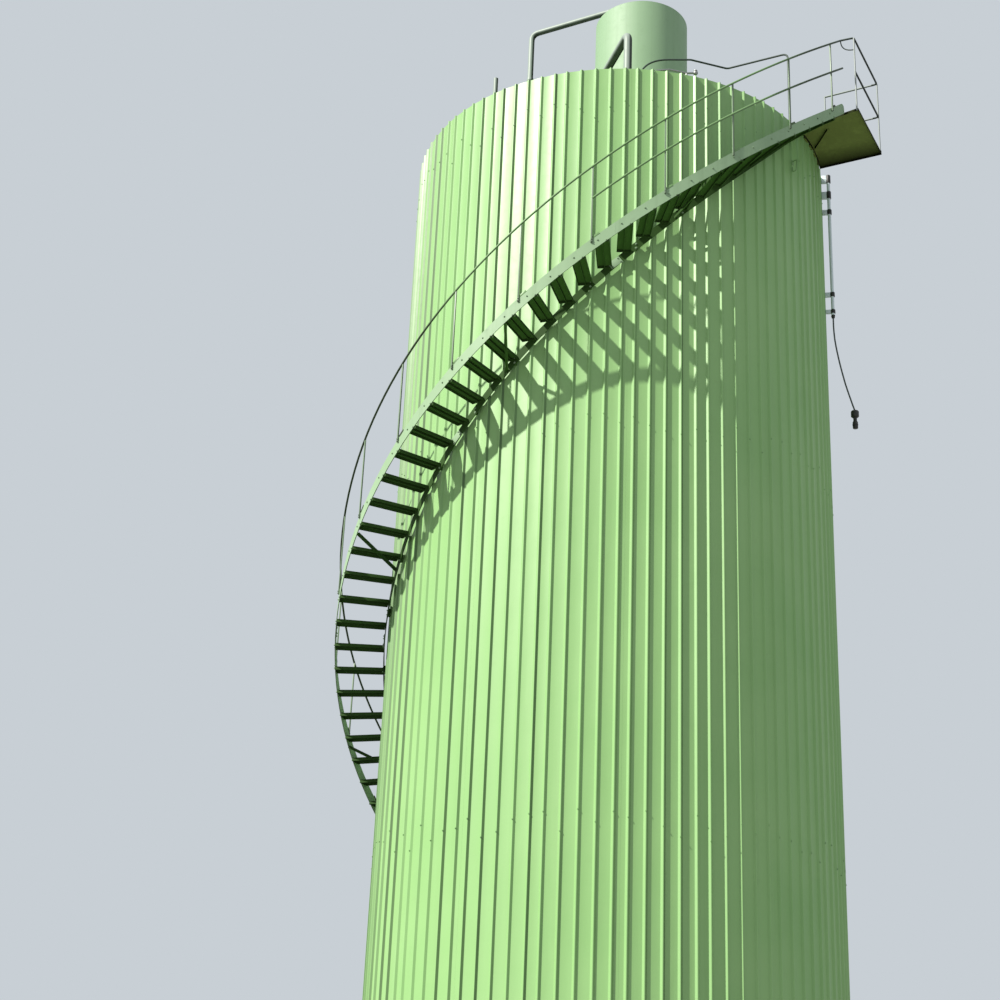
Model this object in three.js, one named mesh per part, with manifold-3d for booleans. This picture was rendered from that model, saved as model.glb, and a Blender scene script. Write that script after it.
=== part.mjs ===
// Vertical storage tank: ribbed cladding round a steel shell, a roof turret and a spiral stair.
// Millimetres, +Z up. The origin is the centre of the bottom plate's underside.
// An azimuth is in degrees: 0 faces -Y, and it grows towards +X, counter-clockwise from above.

import * as THREE from 'three';
import * as BufferGeometryUtils from 'three/addons/utils/BufferGeometryUtils.js';
import Module from 'manifold-3d';

const wasm = await Module();
wasm.setup();

// Clearance between touching pieces, and the overlap of bodies that are joined
const SEAT = 0.3;
const FUSE = 1;

// Tank
const CREST_RADIUS = 3000;
const RIB_HEIGHT = 27;
const RIB_CREST_WIDTH = 12;
const RIB_FLANK_RUN = 20;
const SHEET_THICKNESS = 3;
const RIM_HEIGHT = 16186;
const BOTTOM_PLATE_RADIUS = 3005;
const BOTTOM_PLATE_THICKNESS = 12;
const SHELL_RADIUS = 2860;
const SHELL_THICKNESS = 8;
const ROUND_STEPS = 60;
const HIDDEN_STEPS = 48;

// Cladding sheets: five ribs each, the lap to the next sheet is a narrower step
const RIBS_PER_SHEET = 5;
const RIB_STEP = 3.83;
const SHEET_STEP = 18.5;
const FIRST_RIB_AZIMUTH = 4.417;
const SHEETS_BEHIND_START = 10;
const SHEET_COUNT = 19;
const SHEETS_PER_PANEL = 2;
const PANEL_GAP_ANGLE = 0.012;

// Girt rings between the shell and the cladding
const GIRT_HEIGHTS = [900, 5900, 10900, 15700];
const GIRT_DEPTH = 60;

// Roof
const ROOF_RADIUS = 2945;
const ROOF_EDGE_DROP = 50;
const ROOF_THICKNESS = 8;
const ROOF_SLOPE = 1 / 12;

// Turret on the roof
const TURRET_CENTRE = [311, 0];
const TURRET_RADIUS = 712;
const TURRET_WALL = 8;
const TURRET_TOP = 19147;
const TURRET_CURB_WIDTH = 80;
const TURRET_CURB_RISE = 90;
const TURRET_STEPS = 40;

// Stair
const RISE = 237.9;
const RISE_ANGLE = 4.545;
const RISE_COUNT = 68;
const LANDING_AZIMUTH = 56.27;
const TREAD_DEPTH = 188;
const TREAD_LIP = 45;
const TREAD_SETBACK_ANGLE = 0.25;
const INNER_STRINGER_RADIUS = 3030;
const OUTER_STRINGER_RADIUS = 3687;
const STRINGER_THICKNESS = 10;
const INNER_STRINGER_BELOW = 150;
const INNER_STRINGER_ABOVE = -15;
const OUTER_STRINGER_BELOW = 63;
const OUTER_STRINGER_ABOVE = 117;
const TREAD_END_BITE = 6;
const FLIGHT_LAST_TREADS = [10, 19, 28, 37, 46, 55, 67];
const BRACE_TREADS = [6, 15, 24, 33, 42, 51, 60];
const BRACE_WIDTH = 46;
const BRACE_TOP_SETBACK = 0.2;
const BRACE_FOOT_SETBACK = 1.3;
const BRACE_FOOT_RISE = 40;
const BRACE_CLEAT_SETBACK = 0.5;
const STAIR_END_AZIMUTH = 57.2;
const FOOT_PLATE_WIDTH = 60;
const FOOT_PLATE_LENGTH = 160;
const FOOT_PLATE_THICKNESS = 12;
const CLEAT_WIDTH = 36;
const CLEAT_HEIGHT = 110;

// Stair rail
const RAIL_RADIUS = 17;
const RAIL_SIDES = 6;
const TOP_RAIL_OVER_TREAD = 1178;
const MID_RAIL_OVER_TREAD = 700;
const POST_WIDTH = 30;
const POST_STEP_ANGLE = 14.17;
const POST_FIRST_AZIMUTH = -246;
const MID_RAIL_FIRST_POST = 17;
const POST_ON_STRINGER = 60;
const RAIL_BEND = 40;
const STAY_RADIUS = 8;
const STAY_DROP = 200;
const RAIL_SPLITS = [-246.5, -170, -95, -19, 53.6];

// Landing
const LANDING_AXIS_AZIMUTH = 66;
const LANDING_REACH = 3860;
const LANDING_HALF_WIDTH = 573;
const LANDING_DEPTH = 40;
const LANDING_PLATE = 6;
const LANDING_FRONT_AZIMUTH = 57.2;
const LANDING_MID_RAIL = 600;
const DECK_CURVE_STEPS = 10;
const DECK_WALL_GAP = 0.6;
const STIFFENER_SIZE = 40;
const STIFFENER_WALL_AZIMUTH = 67.6;
const STIFFENER_FRONT_AZIMUTH = 61;
const STIFFENER_FRONT_RADIUS = 3350;

const LANDING_HEIGHT = RISE * RISE_COUNT;
const VALLEY_RADIUS = CREST_RADIUS - RIB_HEIGHT;
const ROOF_EDGE_HEIGHT = RIM_HEIGHT - ROOF_EDGE_DROP;
const OUTER_FACE_RADIUS = OUTER_STRINGER_RADIUS + STRINGER_THICKNESS;
const RAIL_LINE_RADIUS = OUTER_FACE_RADIUS + SEAT + POST_WIDTH / 2;

const radians = THREE.MathUtils.degToRad;

// Point at a distance from the tank's axis, an azimuth and a height
function polar(radius, azimuth, height) {
  const angle = radians(azimuth);
  return new THREE.Vector3(radius * Math.sin(angle), -radius * Math.cos(angle), height);
}

// Height of the tread line at an azimuth
function climb(azimuth) {
  return LANDING_HEIGHT + (azimuth - LANDING_AZIMUTH) / RISE_ANGLE * RISE;
}

// Azimuth of a tread counted from the ground
function treadAzimuth(index) {
  return LANDING_AZIMUTH + (index - RISE_COUNT) * RISE_ANGLE;
}

// Height of the roof's upper face at a distance from the tank's axis
function roofHeight(radius) {
  return ROOF_EDGE_HEIGHT + (ROOF_RADIUS - radius) * ROOF_SLOPE;
}

// Closed solid of a geometry
function toSolid(geometry) {
  const bare = geometry.clone();
  bare.deleteAttribute('normal');
  bare.deleteAttribute('uv');
  const merged = BufferGeometryUtils.mergeVertices(bare, 1e-3);
  return new wasm.Manifold(new wasm.Mesh({
    numProp: 3,
    vertProperties: Float32Array.from(merged.attributes.position.array),
    triVerts: Uint32Array.from(merged.index.array),
  }));
}

// Geometry of a closed solid
function toGeometry(solid) {
  const mesh = solid.getMesh();
  const geometry = new THREE.BufferGeometry();
  geometry.setAttribute('position', new THREE.BufferAttribute(mesh.vertProperties, 3));
  geometry.setIndex(new THREE.BufferAttribute(mesh.triVerts, 1));
  geometry.computeVertexNormals();
  return geometry;
}

// One solid joined from several geometries
function join(geometries) {
  return geometries.map(toSolid).reduce((all, next) => all.add(next));
}

// Bend a straight piece round the tank: x is the distance from the axis, y the azimuth, z the height
function bend(geometry, heightAt) {
  const position = geometry.attributes.position;
  for (let i = 0; i < position.count; i += 1) {
    const azimuth = position.getY(i);
    const point = polar(position.getX(i), azimuth, position.getZ(i) + heightAt(azimuth));
    position.setXYZ(i, point.x, point.y, point.z);
  }
  return geometry;
}

// Curved bar of rectangular section that follows a height line round the tank
function bentBar(innerRadius, thickness, from, to, below, above, heightAt) {
  const steps = Math.max(1, Math.ceil((to - from) / RISE_ANGLE - 1e-6));
  const bar = new THREE.BoxGeometry(thickness, to - from, above + below, 1, steps, 1);
  bar.translate(innerRadius + thickness / 2, (from + to) / 2, (above - below) / 2);
  return bend(bar, heightAt);
}

// Round rail along the stair at a rise over the treads, its section kept round on the slope
function stairTube(from, to, rise) {
  const steps = Math.max(1, Math.ceil((to - from) / RISE_ANGLE - 1e-6));
  const slope = Math.atan2(RISE, radians(RISE_ANGLE) * RAIL_LINE_RADIUS);
  const tube = new THREE.CylinderGeometry(RAIL_RADIUS, RAIL_RADIUS, to - from, RAIL_SIDES, steps);
  tube.scale(1, 1, 1 / Math.cos(slope));
  tube.translate(RAIL_LINE_RADIUS, (from + to) / 2, rise);
  return bend(tube, climb);
}

// Box in the radial frame of an azimuth: radial, tangential and vertical sizes
function radialBox(size, radius, azimuth, height, tilt = 0) {
  const box = new THREE.BoxGeometry(...size);
  box.rotateY(tilt);
  box.rotateZ(radians(azimuth - 90));
  const centre = polar(radius, azimuth, height);
  box.translate(centre.x, centre.y, centre.z);
  return box;
}

// Square bar between two points
function beam(from, to, width) {
  const bar = new THREE.BoxGeometry(width, width, from.distanceTo(to));
  bar.applyMatrix4(new THREE.Matrix4().lookAt(to, from, new THREE.Vector3(0, 0, 1)));
  const middle = from.clone().lerp(to, 0.5);
  bar.translate(middle.x, middle.y, middle.z);
  return bar;
}

// Upright cylinder or ring from a profile of distance and height pairs
function lathe(profile, steps) {
  const points = profile.map(([radius, height]) => new THREE.Vector2(radius, height));
  const geometry = new THREE.LatheGeometry(points, steps);
  geometry.rotateX(Math.PI / 2);
  return geometry;
}

// Closed ring of rectangular section
function ring(innerRadius, outerRadius, low, high, steps) {
  return lathe([
    [outerRadius, low],
    [outerRadius, high],
    [innerRadius, high],
    [innerRadius, low],
    [outerRadius, low],
  ], steps);
}

// Upright solid cylinder between two heights
function post(radius, low, high, sides, x, y) {
  const geometry = new THREE.CylinderGeometry(radius, radius, high - low, sides);
  geometry.rotateX(Math.PI / 2);
  geometry.translate(x, y, (low + high) / 2);
  return geometry;
}

// Route through points, one step for each leg
class Route extends THREE.Curve {
  constructor(points) {
    super();
    this.points = points;
  }

  getPoint(t, target = new THREE.Vector3()) {
    const place = t * (this.points.length - 1);
    const leg = Math.min(Math.floor(place), this.points.length - 2);
    return target.lerpVectors(this.points[leg], this.points[leg + 1], place - leg);
  }

  getPointAt(u, target) {
    return this.getPoint(u, target);
  }

  getTangent(t, target = new THREE.Vector3()) {
    const place = Math.round(t * (this.points.length - 1));
    target.set(0, 0, 0);
    if (place > 0) {
      target.add(this.points[place].clone().sub(this.points[place - 1]).normalize());
    }
    if (place < this.points.length - 1) {
      target.add(this.points[place + 1].clone().sub(this.points[place]).normalize());
    }
    return target.normalize();
  }

  getTangentAt(u, target) {
    return this.getTangent(u, target);
  }
}

// Points with each corner rounded by a bend radius
function rounded(corners, bendRadius, bendSteps) {
  const points = [corners[0]];
  for (let i = 1; i < corners.length - 1; i += 1) {
    const before = corners[i - 1].clone().sub(corners[i]).normalize();
    const after = corners[i + 1].clone().sub(corners[i]).normalize();
    const half = before.angleTo(after) / 2;
    const reach = bendRadius / Math.tan(half);
    const start = corners[i].clone().addScaledVector(before, reach);
    const end = corners[i].clone().addScaledVector(after, reach);
    const arc = new THREE.QuadraticBezierCurve3(start, corners[i], end);
    points.push(...arc.getPoints(bendSteps));
  }
  points.push(corners[corners.length - 1]);
  return points;
}

// Round bar or pipe along points
function pipe(points, radius, sides) {
  const section = new THREE.Shape();
  for (let i = 0; i < sides; i += 1) {
    const angle = 2 * Math.PI * i / sides;
    const place = [radius * Math.cos(angle), radius * Math.sin(angle)];
    if (i === 0) {
      section.moveTo(...place);
    } else {
      section.lineTo(...place);
    }
  }
  return new THREE.ExtrudeGeometry(section, {
    steps: points.length - 1,
    extrudePath: new Route(points),
    bevelEnabled: false,
  });
}

// Upright prism of an outline in plan
function prism(outline, low, high) {
  const shape = new THREE.Shape(outline.map(([x, y]) => new THREE.Vector2(x, y)));
  const geometry = new THREE.ExtrudeGeometry(shape, { depth: high - low, bevelEnabled: false });
  geometry.translate(0, 0, low);
  return geometry;
}

const paint = new THREE.MeshStandardMaterial({ color: 0xb9e6a0, roughness: 0.45, metalness: 0 });
const stairPaint = new THREE.MeshStandardMaterial({ color: 0xa6dc96, roughness: 0.5, metalness: 0 });
const bareSteel = new THREE.MeshStandardMaterial({ color: 0x8a8d88, roughness: 0.5, metalness: 0.7 });
const galvanised = new THREE.MeshStandardMaterial({ color: 0xb5bab8, roughness: 0.45, metalness: 0.8 });
const darkRubber = new THREE.MeshStandardMaterial({ color: 0x23261f, roughness: 0.8, metalness: 0 });

const tank = new THREE.Group();

// Add one named piece to the tank
function addPiece(name, geometry, material) {
  const mesh = new THREE.Mesh(geometry, material);
  mesh.name = name;
  tank.add(mesh);
}

// Bottom plate

const bottomPlate = post(BOTTOM_PLATE_RADIUS, 0, BOTTOM_PLATE_THICKNESS, ROUND_STEPS, 0, 0);
addPiece('bottom_plate', bottomPlate, bareSteel);

// Inner shell, from the bottom plate to the roof

const wallFoot = BOTTOM_PLATE_THICKNESS + SEAT;
const shellTop = roofHeight(SHELL_RADIUS / Math.cos(Math.PI / ROUND_STEPS)) - ROOF_THICKNESS - SEAT;
const shellRing = ring(SHELL_RADIUS - SHELL_THICKNESS, SHELL_RADIUS, wallFoot, shellTop, HIDDEN_STEPS);
addPiece('inner_shell', shellRing, bareSteel);

// Girt rings

const girtInner = SHELL_RADIUS + 0.4;
const girtOuter = VALLEY_RADIUS - SHEET_THICKNESS - 1.4;
GIRT_HEIGHTS.forEach((height, index) => {
  const girt = ring(girtInner, girtOuter, height, height + GIRT_DEPTH, HIDDEN_STEPS);
  addPiece(`girt_ring_${index + 1}`, girt, galvanised);
});

// Cladding

// Rib centres of one sheet that starts at an azimuth
function sheetRibs(firstRib, count, step) {
  return Array.from({ length: count }, (_, i) => firstRib + i * step);
}

const lapHalf = (SHEET_STEP - (RIBS_PER_SHEET - 1) * RIB_STEP) / 2;
const sheets = [];
for (let sheet = -SHEETS_BEHIND_START; sheet < SHEET_COUNT - SHEETS_BEHIND_START; sheet += 1) {
  const firstRib = FIRST_RIB_AZIMUTH + sheet * SHEET_STEP;
  const from = firstRib - lapHalf;
  sheets.push({ from, to: from + SHEET_STEP, ribs: sheetRibs(firstRib, RIBS_PER_SHEET, RIB_STEP) });
}
const closingFrom = sheets[sheets.length - 1].to;
const closingTo = sheets[0].from + 360;
const closingStep = (closingTo - closingFrom) / 2;
const closingRibs = sheetRibs(closingFrom + closingStep / 2, 2, closingStep);
sheets.push({ from: closingFrom, to: closingTo, ribs: closingRibs });
const ribAzimuths = sheets.flatMap((sheet) => sheet.ribs);

// Rib centre nearest to an azimuth, on the same turn
function nearestRib(azimuth) {
  const turns = ribAzimuths.flatMap((rib) => [rib - 360, rib, rib + 360]);
  return turns.reduce((best, rib) => (Math.abs(rib - azimuth) < Math.abs(best - azimuth) ? rib : best));
}

// Corrugated outline from one azimuth to another, offset inwards
function ribbedLine(from, to, ribs, inset) {
  const crestHalf = THREE.MathUtils.radToDeg(RIB_CREST_WIDTH / 2 / CREST_RADIUS);
  const footHalf = THREE.MathUtils.radToDeg((RIB_CREST_WIDTH / 2 + RIB_FLANK_RUN) / CREST_RADIUS);
  const line = [polar(VALLEY_RADIUS - inset, from, 0)];
  ribs.forEach((rib) => {
    line.push(polar(VALLEY_RADIUS - inset, rib - footHalf, 0));
    line.push(polar(CREST_RADIUS - inset, rib - crestHalf, 0));
    line.push(polar(CREST_RADIUS - inset, rib + crestHalf, 0));
    line.push(polar(VALLEY_RADIUS - inset, rib + footHalf, 0));
  });
  line.push(polar(VALLEY_RADIUS - inset, to, 0));
  return line;
}

for (let first = 0; first < sheets.length; first += SHEETS_PER_PANEL) {
  const group = sheets.slice(first, first + SHEETS_PER_PANEL);
  const from = group[0].from + PANEL_GAP_ANGLE / 2;
  const to = group[group.length - 1].to - PANEL_GAP_ANGLE / 2;
  const ribs = group.flatMap((sheet) => sheet.ribs);
  const outer = ribbedLine(from, to, ribs, 0);
  const inner = ribbedLine(from, to, ribs, SHEET_THICKNESS).reverse();
  const outline = [...outer, ...inner].map((point) => [point.x, point.y]);
  const number = String(first / SHEETS_PER_PANEL + 1).padStart(2, '0');
  addPiece(`cladding_panel_${number}`, prism(outline, wallFoot, RIM_HEIGHT), paint);
}

// Roof

const roofApex = roofHeight(0);
const roofPlate = lathe([
  [0, roofApex - ROOF_THICKNESS],
  [ROOF_RADIUS, ROOF_EDGE_HEIGHT - ROOF_THICKNESS],
  [ROOF_RADIUS, ROOF_EDGE_HEIGHT],
  [0, roofApex],
], ROUND_STEPS);
addPiece('roof_plate', roofPlate, paint);

// Everything under the roof's upper face, raised by the seat, to cut what stands on the roof
const underRoof = toSolid(lathe([
  [0, ROOF_EDGE_HEIGHT - 2000],
  [ROOF_RADIUS, ROOF_EDGE_HEIGHT - 2000],
  [ROOF_RADIUS, ROOF_EDGE_HEIGHT + SEAT],
  [0, roofApex + SEAT],
], ROUND_STEPS));

// Turret

const curbTop = roofApex + TURRET_CURB_RISE;
const [turretX, turretY] = TURRET_CENTRE;
const curbRing = ring(
  TURRET_RADIUS - TURRET_CURB_WIDTH,
  TURRET_RADIUS + TURRET_CURB_WIDTH,
  ROOF_EDGE_HEIGHT,
  curbTop,
  TURRET_STEPS,
);
curbRing.translate(turretX, turretY, 0);
addPiece('turret_curb', toGeometry(toSolid(curbRing).subtract(underRoof)), paint);

const turretWall = ring(
  TURRET_RADIUS - TURRET_WALL,
  TURRET_RADIUS,
  curbTop + SEAT,
  TURRET_TOP - TURRET_WALL - SEAT,
  TURRET_STEPS,
);
turretWall.translate(turretX, turretY, 0);
addPiece('turret_shell', turretWall, paint);

const turretCap = post(TURRET_RADIUS, TURRET_TOP - TURRET_WALL, TURRET_TOP, TURRET_STEPS, turretX, turretY);
addPiece('turret_cap', turretCap, paint);

// Roof pipes

const VENT_RADIUS = 45;
const GOOSENECK_RADIUS = 56;
const PIPE_SIDES = 10;
const PIPE_BEND = 130;
const FLANGE_RADIUS = 100;
const FOOT_SINK = 60;
const FLANGE_THICKNESS = 18;

// Flange on the roof, its underside cut to the slope
function roofFlange(x, y, radius) {
  const top = roofHeight(Math.hypot(x, y)) + FLANGE_THICKNESS;
  return toSolid(post(radius, top - FOOT_SINK, top, PIPE_SIDES, x, y)).subtract(underRoof);
}

// Pipe that ends in the roof, with its foot cut to the slope
function roofPipe(corners, radius) {
  return toSolid(pipe(rounded(corners, PIPE_BEND, 4), radius, PIPE_SIDES)).subtract(underRoof);
}

const VENT_LINE_HEIGHT = 19306;
const VENT_CAP_PLACE = [-60, -300];
const VENT_ROOF_PLACE = [-1428, 318];
const ventLow = roofHeight(Math.hypot(...VENT_ROOF_PLACE)) - FOOT_SINK;
const ventCorners = [
  new THREE.Vector3(...VENT_CAP_PLACE, TURRET_TOP + SEAT),
  new THREE.Vector3(...VENT_CAP_PLACE, VENT_LINE_HEIGHT),
  new THREE.Vector3(...VENT_ROOF_PLACE, VENT_LINE_HEIGHT),
  new THREE.Vector3(...VENT_ROOF_PLACE, ventLow),
];
const ventFlange = post(
  FLANGE_RADIUS,
  TURRET_TOP + SEAT,
  TURRET_TOP + SEAT + FLANGE_THICKNESS,
  PIPE_SIDES,
  ...VENT_CAP_PLACE,
);
const ventPipe = roofPipe(ventCorners, VENT_RADIUS)
  .add(toSolid(ventFlange))
  .add(roofFlange(...VENT_ROOF_PLACE, FLANGE_RADIUS));
addPiece('turret_vent_pipe', toGeometry(ventPipe), paint);

const ELBOW_HEIGHT = 16855;
const ELBOW_FRONT_PLACE = [90, -2850];
const ELBOW_BACK_PLACE = [-270, -1850];
const elbowCorners = [
  new THREE.Vector3(...ELBOW_FRONT_PLACE, ROOF_EDGE_HEIGHT - FOOT_SINK),
  new THREE.Vector3(...ELBOW_FRONT_PLACE, ELBOW_HEIGHT),
  new THREE.Vector3(...ELBOW_BACK_PLACE, ELBOW_HEIGHT),
  new THREE.Vector3(...ELBOW_BACK_PLACE, ROOF_EDGE_HEIGHT),
];
const elbowPipe = roofPipe(elbowCorners, GOOSENECK_RADIUS)
  .add(roofFlange(...ELBOW_BACK_PLACE, FLANGE_RADIUS));
addPiece('gooseneck_pipe', toGeometry(elbowPipe), paint);

const STUB_RADIUS = 32;
const STUB_TOP = 16560;
const stubPlace = polar(2840, -38, 0);
const stubLow = ROOF_EDGE_HEIGHT - FOOT_SINK;
const stubPost = post(STUB_RADIUS, stubLow, STUB_TOP, PIPE_SIDES, stubPlace.x, stubPlace.y);
const stubPipe = toSolid(stubPost)
  .subtract(underRoof)
  .add(roofFlange(stubPlace.x, stubPlace.y, 2 * STUB_RADIUS));
addPiece('stub_pipe', toGeometry(stubPipe), paint);

// Guard rail on the roof, from the rim by the landing to the turret

const GUARD_HEIGHT = 17412;
const GUARD_RIM_PLACE = [2386, -1694];
const GUARD_TURN_PLACE = [1547, -1341];
const GUARD_BEND_PLACE = [1006, -1548];
const GUARD_END_PLACE = [250, -1550];
const GUARD_RIM_BEND = 90;
const GUARD_END_BEND = 440;
const guardMiddle = [GUARD_END_PLACE[0] + GUARD_END_BEND + 20, GUARD_END_PLACE[1]];
const guardRoute = [
  ...rounded([
    new THREE.Vector3(...GUARD_RIM_PLACE, ROOF_EDGE_HEIGHT - FOOT_SINK),
    new THREE.Vector3(...GUARD_RIM_PLACE, GUARD_HEIGHT),
    new THREE.Vector3(...GUARD_TURN_PLACE, GUARD_HEIGHT),
    new THREE.Vector3(...GUARD_BEND_PLACE, GUARD_HEIGHT),
    new THREE.Vector3(...guardMiddle, GUARD_HEIGHT),
  ], GUARD_RIM_BEND, 4),
  ...rounded([
    new THREE.Vector3(...guardMiddle, GUARD_HEIGHT),
    new THREE.Vector3(...GUARD_END_PLACE, GUARD_HEIGHT),
    new THREE.Vector3(...GUARD_END_PLACE, ROOF_EDGE_HEIGHT),
  ], GUARD_END_BEND, 6).slice(1),
];
const guardRail = toSolid(pipe(guardRoute, RAIL_RADIUS, RAIL_SIDES))
  .subtract(underRoof)
  .add(roofFlange(...GUARD_END_PLACE, FLANGE_RADIUS / 2));
addPiece('roof_guard_rail', toGeometry(guardRail), stairPaint);

// Small pipe on two legs inside the rim, with a valve at its end

const RIM_PIPE_RADIUS = 14;
const RIM_PIPE_LINE = 2910;
const RIM_PIPE_AZIMUTHS = [9.2, 13, 17.8, 20.4];
const RIM_PIPE_HEIGHTS = [16226, 16272, 16262, 16298];
const RIM_VALVE_RADIUS = 34;
const rimPoints = RIM_PIPE_AZIMUTHS.map((azimuth, i) => polar(RIM_PIPE_LINE, azimuth, RIM_PIPE_HEIGHTS[i]));
const rimEnd = rimPoints[rimPoints.length - 1];
const rimValve = new THREE.SphereGeometry(RIM_VALVE_RADIUS, PIPE_SIDES, PIPE_SIDES / 2);
rimValve.translate(rimEnd.x, rimEnd.y, rimEnd.z);
const rimPieces = [pipe(rimPoints, RIM_PIPE_RADIUS, RAIL_SIDES), rimValve];
[rimPoints[0], rimPoints[2]].forEach((top) => {
  rimPieces.push(post(RIM_PIPE_RADIUS, ROOF_EDGE_HEIGHT - FOOT_SINK, top.z, RAIL_SIDES, top.x, top.y));
});
addPiece('rim_pipe', toGeometry(join(rimPieces).subtract(underRoof)), bareSteel);

// Conduit down the wall, held by stand-offs on one rib

const CONDUIT_AZIMUTH = nearestRib(81.33);
const CONDUIT_LINE = 3100;
const CONDUIT_RADIUS = 24;
const CONDUIT_TOP = 16125;
const CONDUIT_FOOT = 13850;
const CONDUIT_BEND = 60;
const STANDOFFS = [
  { middle: 16125, height: 130 },
  { middle: 15850, height: 120 },
  { middle: 15560, height: 80 },
  { middle: 14185, height: 70 },
  { middle: 13910, height: 60 },
];
const STANDOFF_WIDTH = 34;
const COLLAR_RADIUS = 35;
const GLAND_RADIUS = 30;
const GLAND_LENGTH = 40;
const conduitPlace = polar(CONDUIT_LINE, CONDUIT_AZIMUTH, 0);
const standoffInner = CREST_RADIUS + SEAT;
const conduitRoute = rounded([
  polar(standoffInner + FUSE, CONDUIT_AZIMUTH, CONDUIT_TOP),
  polar(CONDUIT_LINE, CONDUIT_AZIMUTH, CONDUIT_TOP),
  polar(CONDUIT_LINE, CONDUIT_AZIMUTH, CONDUIT_FOOT),
], CONDUIT_BEND, 4);
const glandFoot = CONDUIT_FOOT - GLAND_LENGTH;
const conduitPieces = [
  pipe(conduitRoute, CONDUIT_RADIUS, PIPE_SIDES),
  post(GLAND_RADIUS, glandFoot, CONDUIT_FOOT + FUSE, PIPE_SIDES, conduitPlace.x, conduitPlace.y),
];
STANDOFFS.forEach(({ middle, height }) => {
  const reach = CONDUIT_LINE - standoffInner;
  const size = [reach, STANDOFF_WIDTH, height];
  conduitPieces.push(radialBox(size, standoffInner + reach / 2, CONDUIT_AZIMUTH, middle));
  const half = height / 2 - FUSE;
  conduitPieces.push(
    post(COLLAR_RADIUS, middle - half, middle + half, PIPE_SIDES, conduitPlace.x, conduitPlace.y),
  );
});
addPiece('wall_conduit', toGeometry(join(conduitPieces)), galvanised);

// Cable that hangs from the conduit's gland, and the fitting on its end

const CABLE_RADIUS = 11;
const CABLE_SIDES = 8;
const CABLE_STEPS = 30;
const CABLE_LINE = [
  [3100, 13680],
  [3112, 13450],
  [3164, 13095],
  [3236, 12740],
  [3321, 12420],
];
const FITTING_TOP = 12335;
const FITTING_LINE = 3346;
const FITTING_PROFILE = [
  [0, -275],
  [24, -275],
  [37, -262],
  [37, -172],
  [26, -160],
  [28, -104],
  [55, -88],
  [55, -14],
  [42, 0],
  [0, 0],
];
const cableTop = polar(CONDUIT_LINE, CONDUIT_AZIMUTH, glandFoot - SEAT);
const cableCurve = new THREE.CatmullRomCurve3([
  cableTop,
  ...CABLE_LINE.map(([radius, height]) => polar(radius, CONDUIT_AZIMUTH, height)),
  polar(FITTING_LINE, CONDUIT_AZIMUTH, FITTING_TOP),
]);
const cablePoints = cableCurve.getSpacedPoints(CABLE_STEPS);
addPiece('hanging_cable', pipe(cablePoints, CABLE_RADIUS, CABLE_SIDES), darkRubber);

const cableEnd = cablePoints[CABLE_STEPS].clone().sub(cablePoints[CABLE_STEPS - 1]).normalize();
const fittingTop = FITTING_TOP - CABLE_RADIUS * Math.hypot(cableEnd.x, cableEnd.y) - SEAT;
const fitting = lathe(FITTING_PROFILE.map(([radius, drop]) => [radius, fittingTop + drop]), PIPE_SIDES);
const fittingPlace = polar(FITTING_LINE, CONDUIT_AZIMUTH, 0);
fitting.translate(fittingPlace.x, fittingPlace.y, 0);
addPiece('cable_fitting', fitting, darkRubber);

// Stair flights

// One tread between the stringers
function tread(index) {
  const from = INNER_STRINGER_RADIUS + TREAD_END_BITE;
  const to = OUTER_STRINGER_RADIUS + TREAD_END_BITE - FUSE;
  const size = [to - from, TREAD_DEPTH, TREAD_LIP];
  const azimuth = treadAzimuth(index) - TREAD_SETBACK_ANGLE;
  return radialBox(size, (from + to) / 2, azimuth, index * RISE - TREAD_LIP / 2);
}

// Brace under a tread, from the outer stringer's lower edge down to the inner stringer
function brace(index) {
  const topAzimuth = treadAzimuth(index - BRACE_TOP_SETBACK);
  const footAzimuth = treadAzimuth(index - BRACE_FOOT_SETBACK);
  const topHeight = climb(topAzimuth) - OUTER_STRINGER_BELOW - BRACE_WIDTH / 2 + 5 * FUSE;
  const footHeight = climb(footAzimuth) - INNER_STRINGER_BELOW + BRACE_FOOT_RISE;
  const top = polar(OUTER_STRINGER_RADIUS - 2, topAzimuth, topHeight);
  const foot = polar(INNER_STRINGER_RADIUS + STRINGER_THICKNESS, footAzimuth, footHeight);
  return beam(foot, top, BRACE_WIDTH);
}

// Short cleat between the inner stringer and a rib crest
function wallCleat(azimuth) {
  const inner = CREST_RADIUS + SEAT;
  const thickness = INNER_STRINGER_RADIUS - inner + FUSE;
  const middle = climb(azimuth) - (INNER_STRINGER_BELOW - INNER_STRINGER_ABOVE) / 2;
  return radialBox([thickness, CLEAT_WIDTH, CLEAT_HEIGHT], inner + thickness / 2, azimuth, middle);
}

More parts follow.
